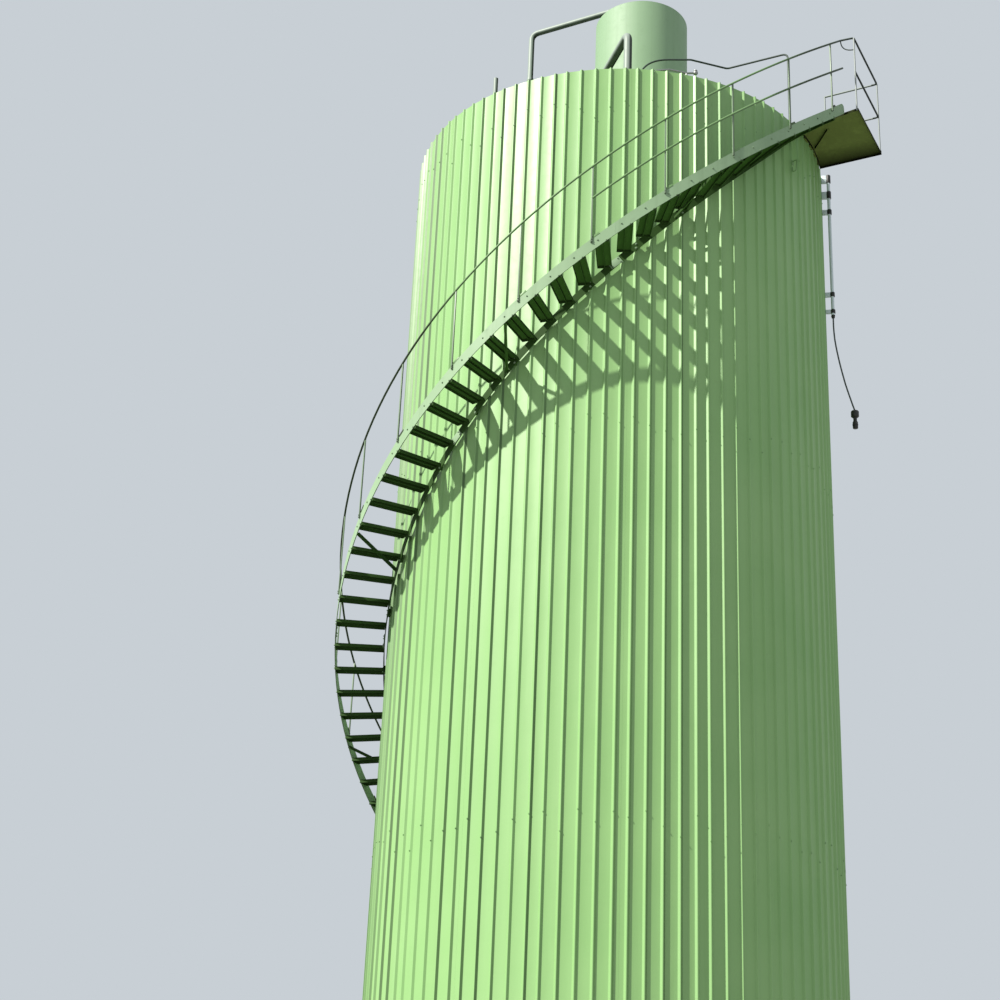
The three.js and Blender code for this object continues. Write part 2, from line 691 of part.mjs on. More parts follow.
const stringers = [
  { radius: INNER_STRINGER_RADIUS, below: INNER_STRINGER_BELOW, above: INNER_STRINGER_ABOVE },
  { radius: OUTER_STRINGER_RADIUS, below: OUTER_STRINGER_BELOW, above: OUTER_STRINGER_ABOVE },
];
const groundDepth = 2000;
const groundBlock = new THREE.BoxGeometry(3 * CREST_RADIUS, 3 * CREST_RADIUS, groundDepth);
const belowGround = toSolid(groundBlock.translate(0, 0, -groundDepth / 2));
let flightFirst = 1;
let flightFrom = treadAzimuth(0) - 1;
FLIGHT_LAST_TREADS.forEach((last, index) => {
  const isTop = index === FLIGHT_LAST_TREADS.length - 1;
  const flightTo = isTop ? STAIR_END_AZIMUTH : treadAzimuth(last + 0.5);
  const pieces = [];
  stringers.forEach(({ radius, below, above }) => {
    const to = flightTo - PANEL_GAP_ANGLE;
    pieces.push(bentBar(radius, STRINGER_THICKNESS, flightFrom, to, below, above, climb));
  });
  for (let number = flightFirst; number <= last; number += 1) {
    pieces.push(tread(number));
  }
  const braceTread = BRACE_TREADS[index];
  pieces.push(brace(braceTread));
  [flightFirst + 1, braceTread - BRACE_CLEAT_SETBACK, last - 1].forEach((number) => {
    pieces.push(wallCleat(nearestRib(treadAzimuth(number))));
  });
  let flight = join(pieces);
  if (index === 0) {
    flight = flight.subtract(belowGround);
    stringers.forEach(({ radius }) => {
      const size = [FOOT_PLATE_WIDTH, FOOT_PLATE_LENGTH, FOOT_PLATE_THICKNESS];
      const middle = radius + FOOT_PLATE_WIDTH / 2;
      flight = flight.add(toSolid(radialBox(size, middle, treadAzimuth(0.2), FOOT_PLATE_THICKNESS / 2)));
    });
  }
  addPiece(`stair_flight_${index + 1}`, toGeometry(flight), stairPaint);
  flightFirst = last + 1;
  flightFrom = flightTo;
});

// Stair rail: a round top rail on side-fixed posts, in four lengths, and a mid rail on the last posts

const midRailStart = POST_FIRST_AZIMUTH + MID_RAIL_FIRST_POST * POST_STEP_ANGLE;

for (let part = 0; part < RAIL_SPLITS.length - 1; part += 1) {
  const from = RAIL_SPLITS[part];
  const to = RAIL_SPLITS[part + 1] - PANEL_GAP_ANGLE;
  const pieces = [stairTube(from, to, TOP_RAIL_OVER_TREAD)];
  if (part === RAIL_SPLITS.length - 2) {
    pieces.push(stairTube(midRailStart, STAIR_END_AZIMUTH - 0.5, MID_RAIL_OVER_TREAD));
  }
  for (let azimuth = POST_FIRST_AZIMUTH; azimuth < to; azimuth += POST_STEP_ANGLE) {
    if (azimuth > from) {
      const low = Math.max(climb(azimuth) + OUTER_STRINGER_ABOVE - POST_ON_STRINGER, 0);
      const high = climb(azimuth) + TOP_RAIL_OVER_TREAD;
      const size = [POST_WIDTH, POST_WIDTH, high - low];
      pieces.push(radialBox(size, RAIL_LINE_RADIUS, azimuth, (low + high) / 2));
    }
  }
  addPiece(`stair_rail_${part + 1}`, toGeometry(join(pieces)), stairPaint);
}

// Landing deck, a folded plate against the rim

const deckAxis = polar(1, LANDING_AXIS_AZIMUTH, 0);
const deckSide = polar(1, LANDING_AXIS_AZIMUTH + 90, 0);

// Point of the deck in plan, from its reach along the axis and its offset across
function deckPoint(reach, across) {
  return [deckAxis.x * reach + deckSide.x * across, deckAxis.y * reach + deckSide.y * across];
}

// Outline of the deck, pulled in by a margin
function deckOutline(margin) {
  const wallRadius = CREST_RADIUS + DECK_WALL_GAP + margin;
  const half = LANDING_HALF_WIDTH - margin;
  const reach = LANDING_REACH - margin;
  const frontTurn = LANDING_AXIS_AZIMUTH - LANDING_FRONT_AZIMUTH;
  const frontShift = THREE.MathUtils.radToDeg(margin / CREST_RADIUS);
  const frontAzimuth = LANDING_FRONT_AZIMUTH + frontShift;
  const backAzimuth = LANDING_AXIS_AZIMUTH + THREE.MathUtils.radToDeg(Math.asin(half / wallRadius));
  const cornerRadius = reach / Math.cos(radians(frontTurn - frontShift));
  const corner = polar(cornerRadius, frontAzimuth, 0);
  const outline = [[corner.x, corner.y], deckPoint(reach, half)];
  for (let i = 0; i <= DECK_CURVE_STEPS; i += 1) {
    const turn = (frontAzimuth - backAzimuth) * i / DECK_CURVE_STEPS;
    const place = polar(wallRadius, backAzimuth + turn, 0);
    outline.push([place.x, place.y]);
  }
  return outline;
}

const deckLow = LANDING_HEIGHT - LANDING_DEPTH;
const deck = toSolid(prism(deckOutline(0), deckLow, LANDING_HEIGHT))
  .subtract(toSolid(prism(deckOutline(LANDING_PLATE), deckLow - FUSE, LANDING_HEIGHT - LANDING_PLATE)));
const stiffenerHeight = LANDING_HEIGHT - LANDING_PLATE - STIFFENER_SIZE / 2 + FUSE;
const stiffener = beam(
  polar(CREST_RADIUS + STIFFENER_SIZE, STIFFENER_WALL_AZIMUTH, stiffenerHeight),
  polar(STIFFENER_FRONT_RADIUS, STIFFENER_FRONT_AZIMUTH, stiffenerHeight),
  STIFFENER_SIZE,
);
addPiece('landing_deck', toGeometry(deck.add(toSolid(stiffener))), stairPaint);

// Landing rail: top and mid rail round the outer sides, on posts at the corners

const frontPostShift = THREE.MathUtils.radToDeg((POST_WIDTH / 2 + SEAT) / LANDING_REACH);
const frontPostAzimuth = LANDING_FRONT_AZIMUTH - frontPostShift;
const postReach = LANDING_REACH - POST_WIDTH / 2;
const postAcross = LANDING_HALF_WIDTH - POST_WIDTH / 2;
const cornerTurn = radians(LANDING_AXIS_AZIMUTH - frontPostAzimuth);
const frontCorner = polar(postReach / Math.cos(cornerTurn), frontPostAzimuth, 0);
const railCorners = [
  frontCorner,
  new THREE.Vector3(...deckPoint(postReach, postAcross), 0),
  new THREE.Vector3(...deckPoint(CREST_RADIUS + 60, postAcross), 0),
];

// Plan points raised to a height
function raised(points, height) {
  return points.map((point) => new THREE.Vector3(point.x, point.y, height));
}

const stairRailEnd = RAIL_SPLITS[RAIL_SPLITS.length - 1];
const topRailHeight = LANDING_HEIGHT + TOP_RAIL_OVER_TREAD;
const topRailRoute = rounded([
  polar(RAIL_LINE_RADIUS, LANDING_AZIMUTH, topRailHeight),
  ...raised(railCorners, topRailHeight),
], RAIL_BEND, 3);
const midRailRoute = rounded(raised(railCorners, LANDING_HEIGHT + LANDING_MID_RAIL), RAIL_BEND, 3);
const stayTop = polar(RAIL_LINE_RADIUS, LANDING_AZIMUTH, topRailHeight);
const stayRoute = new THREE.QuadraticBezierCurve3(
  stayTop,
  new THREE.Vector3(stayTop.x, stayTop.y, topRailHeight - STAY_DROP),
  new THREE.Vector3(frontCorner.x, frontCorner.y, topRailHeight - STAY_DROP),
).getPoints(6);
const landingRail = [
  stairTube(stairRailEnd, LANDING_AZIMUTH + 0.1, TOP_RAIL_OVER_TREAD),
  pipe(topRailRoute, RAIL_RADIUS, RAIL_SIDES),
  pipe(midRailRoute, RAIL_RADIUS, RAIL_SIDES),
  pipe(stayRoute, STAY_RADIUS, RAIL_SIDES),
];
railCorners.forEach((corner, index) => {
  const low = index === 0 ? LANDING_HEIGHT - LANDING_DEPTH : LANDING_HEIGHT + SEAT;
  landingRail.push(post(POST_WIDTH / 2, low, topRailHeight, RAIL_SIDES, corner.x, corner.y));
});
addPiece('landing_rail', toGeometry(join(landingRail)), stairPaint);

export default tank;
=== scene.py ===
"""Vertical storage tank with ribbed cladding, a roof turret and a spiral stair.

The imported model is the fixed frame. This script adds the fine pieces, the finishes, the light and the
camera. Lengths are metres. An azimuth is in degrees: 0 faces -Y, and it grows towards +X.
"""

from __future__ import annotations

import logging
import math
import random
from collections.abc import Iterable, Sequence
from dataclasses import dataclass
from enum import Enum

import bmesh
import bpy
from mathutils import Matrix, Vector


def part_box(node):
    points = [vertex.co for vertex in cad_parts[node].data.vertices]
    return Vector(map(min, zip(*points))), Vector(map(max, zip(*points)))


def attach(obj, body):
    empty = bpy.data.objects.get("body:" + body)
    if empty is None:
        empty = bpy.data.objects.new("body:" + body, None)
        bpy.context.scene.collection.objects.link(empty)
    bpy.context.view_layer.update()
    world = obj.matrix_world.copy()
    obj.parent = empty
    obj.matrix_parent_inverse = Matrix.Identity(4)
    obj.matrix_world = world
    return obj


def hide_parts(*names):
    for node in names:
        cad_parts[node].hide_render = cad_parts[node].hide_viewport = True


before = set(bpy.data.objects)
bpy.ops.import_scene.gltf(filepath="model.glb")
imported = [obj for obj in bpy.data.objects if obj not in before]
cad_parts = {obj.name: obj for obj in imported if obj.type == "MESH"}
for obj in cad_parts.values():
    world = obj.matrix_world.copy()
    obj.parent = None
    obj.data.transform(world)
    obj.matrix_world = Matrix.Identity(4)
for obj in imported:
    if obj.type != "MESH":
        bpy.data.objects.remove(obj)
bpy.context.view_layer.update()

LOG = logging.getLogger("tank")

# Tank
CREST_RADIUS = 3.0
RIB_HEIGHT = 0.027
VALLEY_RADIUS = CREST_RADIUS - RIB_HEIGHT
RIM_HEIGHT = 16.186
ROOF_RADIUS = 2.945
ROOF_BELOW_RIM = 0.05
ROOF_EDGE_HEIGHT = RIM_HEIGHT - ROOF_BELOW_RIM
ROOF_SLOPE = 1 / 12
SEAT = 0.0003

# Roundings of edges
FINE_EDGE = 0.001
EDGE = 0.002
SOFT_EDGE = 0.003

# Sheets of the cladding, in degrees round the tank
SHEET_STEP = 18.5
SHEET_COUNT = 19
RIB_STEP = 3.83
RIBS_PER_SHEET = 5
FIRST_RIB = 4.417 - 10 * SHEET_STEP
LAP_HALF = (SHEET_STEP - (RIBS_PER_SHEET - 1) * RIB_STEP) / 2
FIRST_EDGE = FIRST_RIB - LAP_HALF

# Stair
RISE = 0.2379
RISE_ANGLE = 4.545
RISE_COUNT = 68
LANDING_AZIMUTH = 56.27
LANDING_HEIGHT = RISE * RISE_COUNT
INNER_STRINGER_RADIUS = 3.030
OUTER_STRINGER_RADIUS = 3.687
STRINGER_THICKNESS = 0.010
STAIR_END_AZIMUTH = 57.2
TOP_RAIL_RISE = 1.178
MID_RAIL_RISE = 0.700
POST_WIDTH = 0.030
POST_DEPTH = 0.018
POST_BREADTH = 0.022
RAIL_RADIUS = 0.0135
RAIL_SIDES = 14
INNER_FACE_RADIUS = INNER_STRINGER_RADIUS + STRINGER_THICKNESS
OUTER_FACE_RADIUS = OUTER_STRINGER_RADIUS + STRINGER_THICKNESS
RAIL_LINE_RADIUS = OUTER_FACE_RADIUS + SEAT + POST_WIDTH / 2
RAIL_SPLITS = (-246.5, -170.0, -95.0, -19.0, 53.6)

# Conduit and the cable under it
CONDUIT_AZIMUTH = 82.247
CONDUIT_LINE = 3.100
CONDUIT_FOOT = 13.850
GLAND_LENGTH = 0.040

# The turn that points a bolt's head away from the tank's axis
OUTWARD = Matrix.Rotation(math.pi / 2, 4, "Y")

Colour = tuple[float, float, float, float]
Sheet = tuple[float, float, list[float]]


def polar(radius: float, azimuth: float, height: float) -> Vector:
    """Returns the point at a distance from the tank's axis, an azimuth and a height."""
    angle = math.radians(azimuth)
    return Vector((radius * math.sin(angle), -radius * math.cos(angle), height))


def lift(height: float) -> Matrix:
    """Returns a move straight up."""
    return Matrix.Translation((0, 0, height))


def climb(azimuth: float) -> float:
    """Returns the height of the tread line at an azimuth."""
    return LANDING_HEIGHT + (azimuth - LANDING_AZIMUTH) / RISE_ANGLE * RISE


def on_stair(radius: float, azimuth: float, rise: float) -> Vector:
    """Returns the point at a height over the tread line."""
    return polar(radius, azimuth, climb(azimuth) + rise)


def climb_tilt(radius: float) -> Matrix:
    """Returns the turn that lays a part along the stair's climb, at a distance from the axis."""
    return Matrix.Rotation(math.atan2(RISE, math.radians(RISE_ANGLE) * radius), 4, "X")


def climb_steps(start: float, end: float) -> int:
    """Returns how many straight stretches a bar that climbs with the stair has: two to a tread."""
    return max(2, round(2 * (end - start) / RISE_ANGLE))


def tread_azimuth(index: float) -> float:
    """Returns the azimuth of a tread counted from the ground."""
    return LANDING_AZIMUTH + (index - RISE_COUNT) * RISE_ANGLE


def roof_height(radius: float) -> float:
    """Returns the height of the roof's upper face at a distance from the axis."""
    return ROOF_EDGE_HEIGHT + (ROOF_RADIUS - radius) * ROOF_SLOPE


def on_roof(x: float, y: float) -> Vector:
    """Returns the point of the roof's upper face at a place in plan."""
    return Vector((x, y, roof_height(math.hypot(x, y))))


def stand(radius: float, azimuth: float, height: float) -> Matrix:
    """Returns the frame at a place on the tank: X points outwards, Y along the azimuth and Z up."""
    turn = Matrix.Rotation(math.radians(azimuth - 90), 4, "Z")
    return Matrix.Translation(polar(radius, azimuth, height)) @ turn


def between(start: Vector, end: Vector) -> Matrix:
    """Finds the frame of a bar between two points.

    Args:
        start: where the bar starts.
        end: where it ends.

    Returns:
        The frame at their middle, with X along the bar and Z as upright as it can be.
    """
    along = (end - start).normalized()
    side = Vector((0, 0, 1)).cross(along).normalized()
    turn = Matrix((along, side, along.cross(side))).transposed().to_4x4()
    return Matrix.Translation((start + end) / 2) @ turn


def curve(start: Vector, corner: Vector, end: Vector, steps: int) -> list[Vector]:
    """Returns the points of a bend that leaves start towards corner and comes to end from it."""
    shares = [i / steps for i in range(steps + 1)]
    return [start * (1 - t) ** 2 + corner * 2 * t * (1 - t) + end * t ** 2 for t in shares]


def rounded(corners: Sequence[Vector], bend: float, steps: int = 6) -> list[Vector]:
    """Rounds the corners of a route.

    Args:
        corners: the points of the route.
        bend: how far each corner between the ends is rounded.
        steps: how many stretches each bend has.

    Returns:
        The route's points.
    """
    route = [corners[0]]
    for before, corner, after in zip(corners, corners[1:], corners[2:]):
        back = (before - corner).normalized()
        forth = (after - corner).normalized()
        reach = bend / math.tan(back.angle(forth) / 2)
        route += curve(corner + back * reach, corner, corner + forth * reach, steps)
    return [*route, corners[-1]]


def sheet_plan() -> list[Sheet]:
    """Lays the cladding's sheets out round the tank.

    Returns:
        The first edge, the last edge and the ribs of each sheet, as azimuths. The last sheet closes the
        ring: it is narrower and has two ribs.
    """
    plan = []
    for number in range(SHEET_COUNT):
        edge = FIRST_EDGE + number * SHEET_STEP
        ribs = [edge + LAP_HALF + i * RIB_STEP for i in range(RIBS_PER_SHEET)]
        plan.append((edge, edge + SHEET_STEP, ribs))
    start, end = plan[-1][1], FIRST_EDGE + 360
    plan.append((start, end, [start + (end - start) * share for share in (0.25, 0.75)]))
    return plan


def nearest_rib(azimuth: float) -> float:
    """Returns the centre of the rib nearest to an azimuth, on the same turn."""
    ribs = [rib + turn for _, _, found in sheet_plan() for rib in found for turn in (-360, 0, 360)]
    return min(ribs, key=lambda rib: abs(rib - azimuth))


def pick(geometry: Iterable[object], kind: type) -> list:
    """Returns the items of one kind among vertices, edges and faces."""
    return [item for item in geometry if isinstance(item, kind)]


def linear(red: int, green: int, blue: int) -> Colour:
    """Turns an sRGB colour into a scene-linear one.

    Args:
        red: its red, from 0 to 255.
        green: its green.
        blue: its blue.

    Returns:
        The colour, with an alpha of 1.
    """
    shares = (channel / 255 for channel in (red, green, blue))
    values = [s / 12.92 if s <= 0.04045 else ((s + 0.055) / 1.055) ** 2.4 for s in shares]
    return (*values, 1.0)


# Dirt, wear and painted shade
RUST_SPOT = linear(96, 62, 40)
RUST_DARK = linear(88, 52, 32)
RUST_BRIGHT = linear(134, 84, 50)
# The next three colours are painted shade: on the ribs' shaded flanks, on the lower treads, and towards
# the far side of the deck and the rails.
RIB_SHADE = linear(46, 76, 34)
LOW_SHADE_DARK = linear(20, 30, 24)
DRIFT_SHADE_DARK = linear(14, 16, 6)
DULL_STEEL = linear(110, 112, 108)
BRIGHT_ZINC = linear(205, 210, 212)
DUST = linear(128, 122, 108)


class Slot(Enum):
    """The record's material slots; nothing in this script uses them."""

    WALL = "wall_paint"
    ROOF = "roof_paint"
    STAIR = "stair_paint"
    PIPE = "pipe_paint"
    GALVANISED = "galvanised"
    CABLE = "cable_sheath"
    FITTING = "fitting_housing"


class Value:
    """A number that varies over a surface, as a shader socket that takes part in arithmetic."""

    def __init__(self, graph: Graph, socket: bpy.types.NodeSocket) -> None:
        """Wraps a socket of a graph."""
        self.graph = graph
        self.socket = socket

    def math(self, operation: str, other: Value | float | None = None, swap: bool = False) -> Value:
        """Adds a Math node.

        Args:
            operation: the Math node's operation.
            other: the second number, where the operation has one.
            swap: whether the second number comes first.

        Returns:
            The result.
        """
        operands = [self] if other is None else [self, other]
        if swap:
            operands.reverse()
        node = self.graph.node("ShaderNodeMath", {"operation": operation}, dict(enumerate(operands)))
        return Value(self.graph, node.outputs[0])

    def __add__(self, other: Value | float) -> Value:
        """Returns the sum."""
        return self.math("ADD", other)

    def __radd__(self, other: float) -> Value:
        """Returns the sum."""
        return self.math("ADD", other)

    def __sub__(self, other: Value | float) -> Value:
        """Returns the difference."""
        return self.math("SUBTRACT", other)

    def __rsub__(self, other: float) -> Value:
        """Returns the difference from a number."""
        return self.math("SUBTRACT", other, swap=True)

    def __mul__(self, other: Value | float) -> Value:
        """Returns the product."""
        return self.math("MULTIPLY", other)

    def __rmul__(self, other: float) -> Value:
        """Returns the product."""
        return self.math("MULTIPLY", other)

    def __truediv__(self, other: Value | float) -> Value:
        """Returns the quotient."""
        return self.math("DIVIDE", other)

    def __rtruediv__(self, other: float) -> Value:
        """Returns a number divided by this one."""
        return self.math("DIVIDE", other, swap=True)

    def step(self, low: float, high: float) -> Value:
        """Returns 0 below low, 1 above high, and a straight rise between them; low may be the larger."""
        inputs = {"Value": self, "From Min": low, "From Max": high}
        return Value(self.graph, self.graph.node("ShaderNodeMapRange", {"clamp": True}, inputs).outputs[0])


class Graph:
    """The node tree of one material."""

    def __init__(self, name: str) -> None:
        """Makes an empty material.

        Args:
            name: its name.
        """
        self.material = bpy.data.materials.new(name)
        self.material.use_nodes = True
        self.tree = self.material.node_tree
        self.tree.nodes.clear()

    def node(
        self,
        kind: str,
        settings: dict[str, object] | None = None,
        inputs: dict[str | int, object] | None = None,
    ) -> bpy.types.Node:
        """Adds a node.

        Args:
            kind: the node's type.
            settings: the node's own settings, set first.
            inputs: the value or link of each socket, by name or number; None leaves it as it is.

        Returns:
            The node.
        """
        node = self.tree.nodes.new(kind)
        for name, setting in (settings or {}).items():
            setattr(node, name, setting)
        for key, given in (inputs or {}).items():
            if isinstance(given, Value):
                self.tree.links.new(given.socket, node.inputs[key])
            elif isinstance(given, bpy.types.NodeSocket):
                self.tree.links.new(given, node.inputs[key])
            elif given is not None:
                node.inputs[key].default_value = given
        return node

    def place(self, stretch: tuple[float, float, float] = (1, 1, 1)) -> bpy.types.NodeSocket:
        """Returns the Object coordinates, stretched along each axis."""
        coordinates = self.node("ShaderNodeTexCoord").outputs["Object"]
        return self.node("ShaderNodeMapping", None, {"Vector": coordinates, "Scale": stretch}).outputs[0]

    def facing(self) -> bpy.types.NodeSocket:
        """Returns the direction that the surface faces."""
        return self.node("ShaderNodeNewGeometry").outputs["Normal"]

    def parts(self, vector: bpy.types.NodeSocket) -> tuple[Value, ...]:
        """Returns the three numbers of a vector."""
        split = self.node("ShaderNodeSeparateXYZ", None, {0: vector})
        return tuple(Value(self, socket) for socket in split.outputs)

    def noise(
        self,
        vector: bpy.types.NodeSocket,
        scale: float,
        detail: float = 3,
        rough: float = 0.55,
    ) -> Value:
        """Returns a cloudy pattern about 0.5."""
        inputs = {"Vector": vector, "Scale": scale, "Detail": detail, "Roughness": rough}
        return Value(self, self.node("ShaderNodeTexNoise", None, inputs).outputs[0])

    def draw(self, number: Value) -> Value:
        """Returns a chance number from 0 to 1 that belongs to a number."""
        settings = {"noise_dimensions": "1D"}
        return Value(self, self.node("ShaderNodeTexWhiteNoise", settings, {"W": number}).outputs[0])

    def blend(self, factor: Value | float, first: object, second: object) -> bpy.types.NodeSocket:
        """Returns a blend of two colours."""
        inputs = {0: factor, 6: first, 7: second}
        return self.node("ShaderNodeMix", {"data_type": "RGBA"}, inputs).outputs[2]

    def bump(
        self,
        height: Value,
        distance: float,
        strength: float,
        under: bpy.types.NodeSocket | None = None,
    ) -> bpy.types.NodeSocket:
        """Returns the normal of a height pattern, over the normal of another one if it is given."""
        inputs = {"Height": height, "Distance": distance, "Strength": strength, "Normal": under}
        return self.node("ShaderNodeBump", None, inputs).outputs[0]

    def close(self, sockets: dict[str, object]) -> bpy.types.Material:
        """Adds the surface shader and the output.

        Args:
            sockets: the value or link of each of the shader's sockets.

        Returns:
            The material.
        """
        shader = self.node("ShaderNodeBsdfPrincipled", None, sockets)
        self.node("ShaderNodeOutputMaterial", None, {"Surface": shader.outputs[0]})
        return self.material


@dataclass(frozen=True)
class Paint:
    """Weathered paint on steel, some with painted shade on the sides that look down or away from the
    light.

    Attributes:
        name: the material's name.
        colour: the paint's own colour.
        faded: its colour where it has faded.
        grime_and_shade: the colour of the dirt on it, and of the painted shade on its sides.
        roughness: its roughness where it is clean.
        streaks: how strongly dirt runs down it.
        grime_share: how much of the dirt's pattern it takes.
        underside: how much the faces that look down take the colour of its dirt, as painted shade; on the
            deck and the treads that colour is the lighter one.
        lee: how much the faces that look away from the key light take the colour of its dirt, as painted
            shade.
        chips: how much of the chipped paint shows rust.
        wave: how deep its sheet is dented, in metres.
        coat: the weight of its gloss.
        specular: its specular level.
        sheets: whether it is on the ribbed sheets of the wall.
        shade_drift: the azimuth that its painted shade darkens towards, and how far out along it the shade
            starts and is full.
        low_shade: the heights over which its dirt and painted shade turn from a darker colour below to
            their own above.
    """

    # How often each pattern repeats along X, Y and Z
    RUNS = (7, 7, 0.22)
    THIN_RUNS = (26, 26, 0.35)
    DENTS = (3.2, 3.2, 0.8)

    name: str
    colour: Colour
    faded: Colour
    grime_and_shade: Colour
    roughness: float = 0.42
    streaks: float = 0.35
    grime_share: float = 0.5
    underside: float = 0.0
    lee: float = 0.0
    chips: float = 0.0
    wave: float = 0.0
    coat: float = 0.0
    specular: float = 0.5
    sheets: bool = False
    shade_drift: tuple[float, float, float] | None = None
    low_shade: tuple[float, float] | None = None

    def wall_marks(self, spot: tuple[Value, ...], runs: Value, fine: Value) -> Value:
        """Finds the marks that only the wall has.

        Args:
            spot: the three coordinates.
            runs: the pattern of the dirt that runs down.
            fine: the fine pattern.

        Returns:
            The darkening in the wall's hollows, and the dirt under its rim and at its foot.
        """
        x, y, z = spot
        # Darker in the hollows between the ribs; dirt under the rim and at the foot.
        hollow = (x * x + y * y).math("SQRT").step(CREST_RADIUS - 0.004, VALLEY_RADIUS + 0.002)
        rim = z.step(RIM_HEIGHT - 2.2, RIM_HEIGHT)
        foot = z.step(1.6, 0.0)
        return hollow * 0.05 + rim * runs.step(0.5, 0.7) * 0.12 + foot * fine * 0.5

    def sheet_colours(
        self,
        graph: Graph,
        spot: tuple[Value, ...],
        runs: Value,
        colour: bpy.types.NodeSocket,
    ) -> bpy.types.NodeSocket:
        """Gives each sheet of the wall a tint, and each rib a line of painted shade on its shaded flank,
        deeper on some ribs than on others.

        Args:
            graph: the material's node tree.
            spot: the three coordinates.
            runs: the pattern of the dirt that runs down.
            colour: the wall's colour.

        Returns:
            The colour with the tints and the lines.
        """
        x, y, _ = spot
        turn = x.math("ARCTAN2", y * -1.0) * (180 / math.pi / SHEET_STEP) - FIRST_EDGE / SHEET_STEP
        sheet = turn.math("FLOOR")
        count = ((turn - sheet) * SHEET_STEP - LAP_HALF) / RIB_STEP
        rib = (count + 0.5).math("FLOOR")
        offset = (count - rib) * RIB_STEP
        # Painted shade: a darker line on the flank that faces away from the key light.
        flank = offset.step(0.08, 0.16) * (1 - offset.step(0.50, 0.60))
        chance = graph.draw(sheet * RIBS_PER_SHEET + rib + 0.5)
        line = flank * (chance.step(0.15, 0.9) * (0.4 + 0.7 * runs))
        tinted = graph.blend(graph.draw(sheet) * 0.5, colour, self.faded)
        return graph.blend(line, tinted, RIB_SHADE)

    def side_shade(self, graph: Graph, clouds: Value) -> Value:
        """Finds the painted shade that lies on some sides only.

        Args:
            graph: the material's node tree.
            clouds: the cloudy pattern.

        Returns:
            The painted shade on the faces that look down, and on those that look away from the light.
        """
        # Painted shade: the key light comes from the -X side, so the faces towards +X and the faces that
        # look down take the colour of the dirt.
        east, _, up = graph.parts(graph.facing())
        grime_and_shade = up.step(-0.2, -0.8) * (self.underside * (0.75 + 0.25 * clouds))
        if self.lee:
            grime_and_shade = grime_and_shade + east.step(0.25, 0.6) * (self.lee * (0.8 + 0.2 * clouds))
        return grime_and_shade

    def build(self) -> bpy.types.Material:
        """Makes the material.

        Returns:
            The material.
        """
        graph = Graph(self.name)
        place = graph.place()
        spot = graph.parts(place)
        x, y, z = spot
        clouds = graph.noise(place, 0.55, 4)
        fine = graph.noise(place, 9.0, 5, 0.65)
        runs = graph.noise(graph.place(self.RUNS), 1.0, 4, 0.6)
        thin_runs = graph.noise(graph.place(self.THIN_RUNS), 1.0, 3, 0.6)
        colour = graph.blend(clouds.step(0.36, 0.66) * 0.8, self.colour, self.faded)
        grime_and_shade = runs.step(0.52, 0.78) * self.streaks + thin_runs.step(0.6, 0.8) * (0.6 * self.streaks)
        grime_and_shade = (grime_and_shade + fine.step(0.56, 0.74) * 0.2) * self.grime_share
        # The wall's own marks, and painted shade on the ribs' shaded flanks
        if self.sheets:
            grime_and_shade = grime_and_shade + self.wall_marks(spot, runs, fine)
            colour = self.sheet_colours(graph, spot, runs, colour)
        # Painted shade on the faces that look down or away from the key light
        if self.underside:
            grime_and_shade = grime_and_shade + self.side_shade(graph, clouds)
        # Painted shade below a height: the colour of the dirt turns darker there.
        dirt = graph.blend(z.step(*self.low_shade), LOW_SHADE_DARK, self.grime_and_shade) if self.low_shade else self.grime_and_shade
        covered = grime_and_shade.math("MINIMUM", 1.0)
        colour = graph.blend(covered, colour, dirt)
        # Painted shade, darker towards one side in plan
        if self.shade_drift:
            azimuth, low, high = self.shade_drift
            towards = polar(1, azimuth, 0)
            far = (x * towards.x + y * towards.y).step(low, high)
            colour = graph.blend(far * 0.85, colour, DRIFT_SHADE_DARK)
        relief = graph.noise(place, 160.0, 2) * 0.25 + fine * 0.5
        if self.chips:
            worn = fine.step(0.68, 0.72) * clouds.step(0.5, 0.62) * self.chips
            colour = graph.blend(worn, colour, RUST_SPOT)
            relief = relief - worn
        normal = graph.bump(relief, 0.0012, 0.35)
        if self.wave:
            dents = graph.noise(graph.place(self.DENTS), 1.0, 2)
            normal = graph.bump(dents, self.wave, 1.0, normal)
        return graph.close({
            "Base Color": colour,
            "Roughness": self.roughness + grime_and_shade * 0.25 + (fine - 0.5) * 0.12,
            "Normal": normal,
            "Coat Weight": self.coat - covered * (0.8 * self.coat) if self.coat else 0.0,
            "Coat Roughness": 0.22,
            "Specular IOR Level": self.specular,
        })


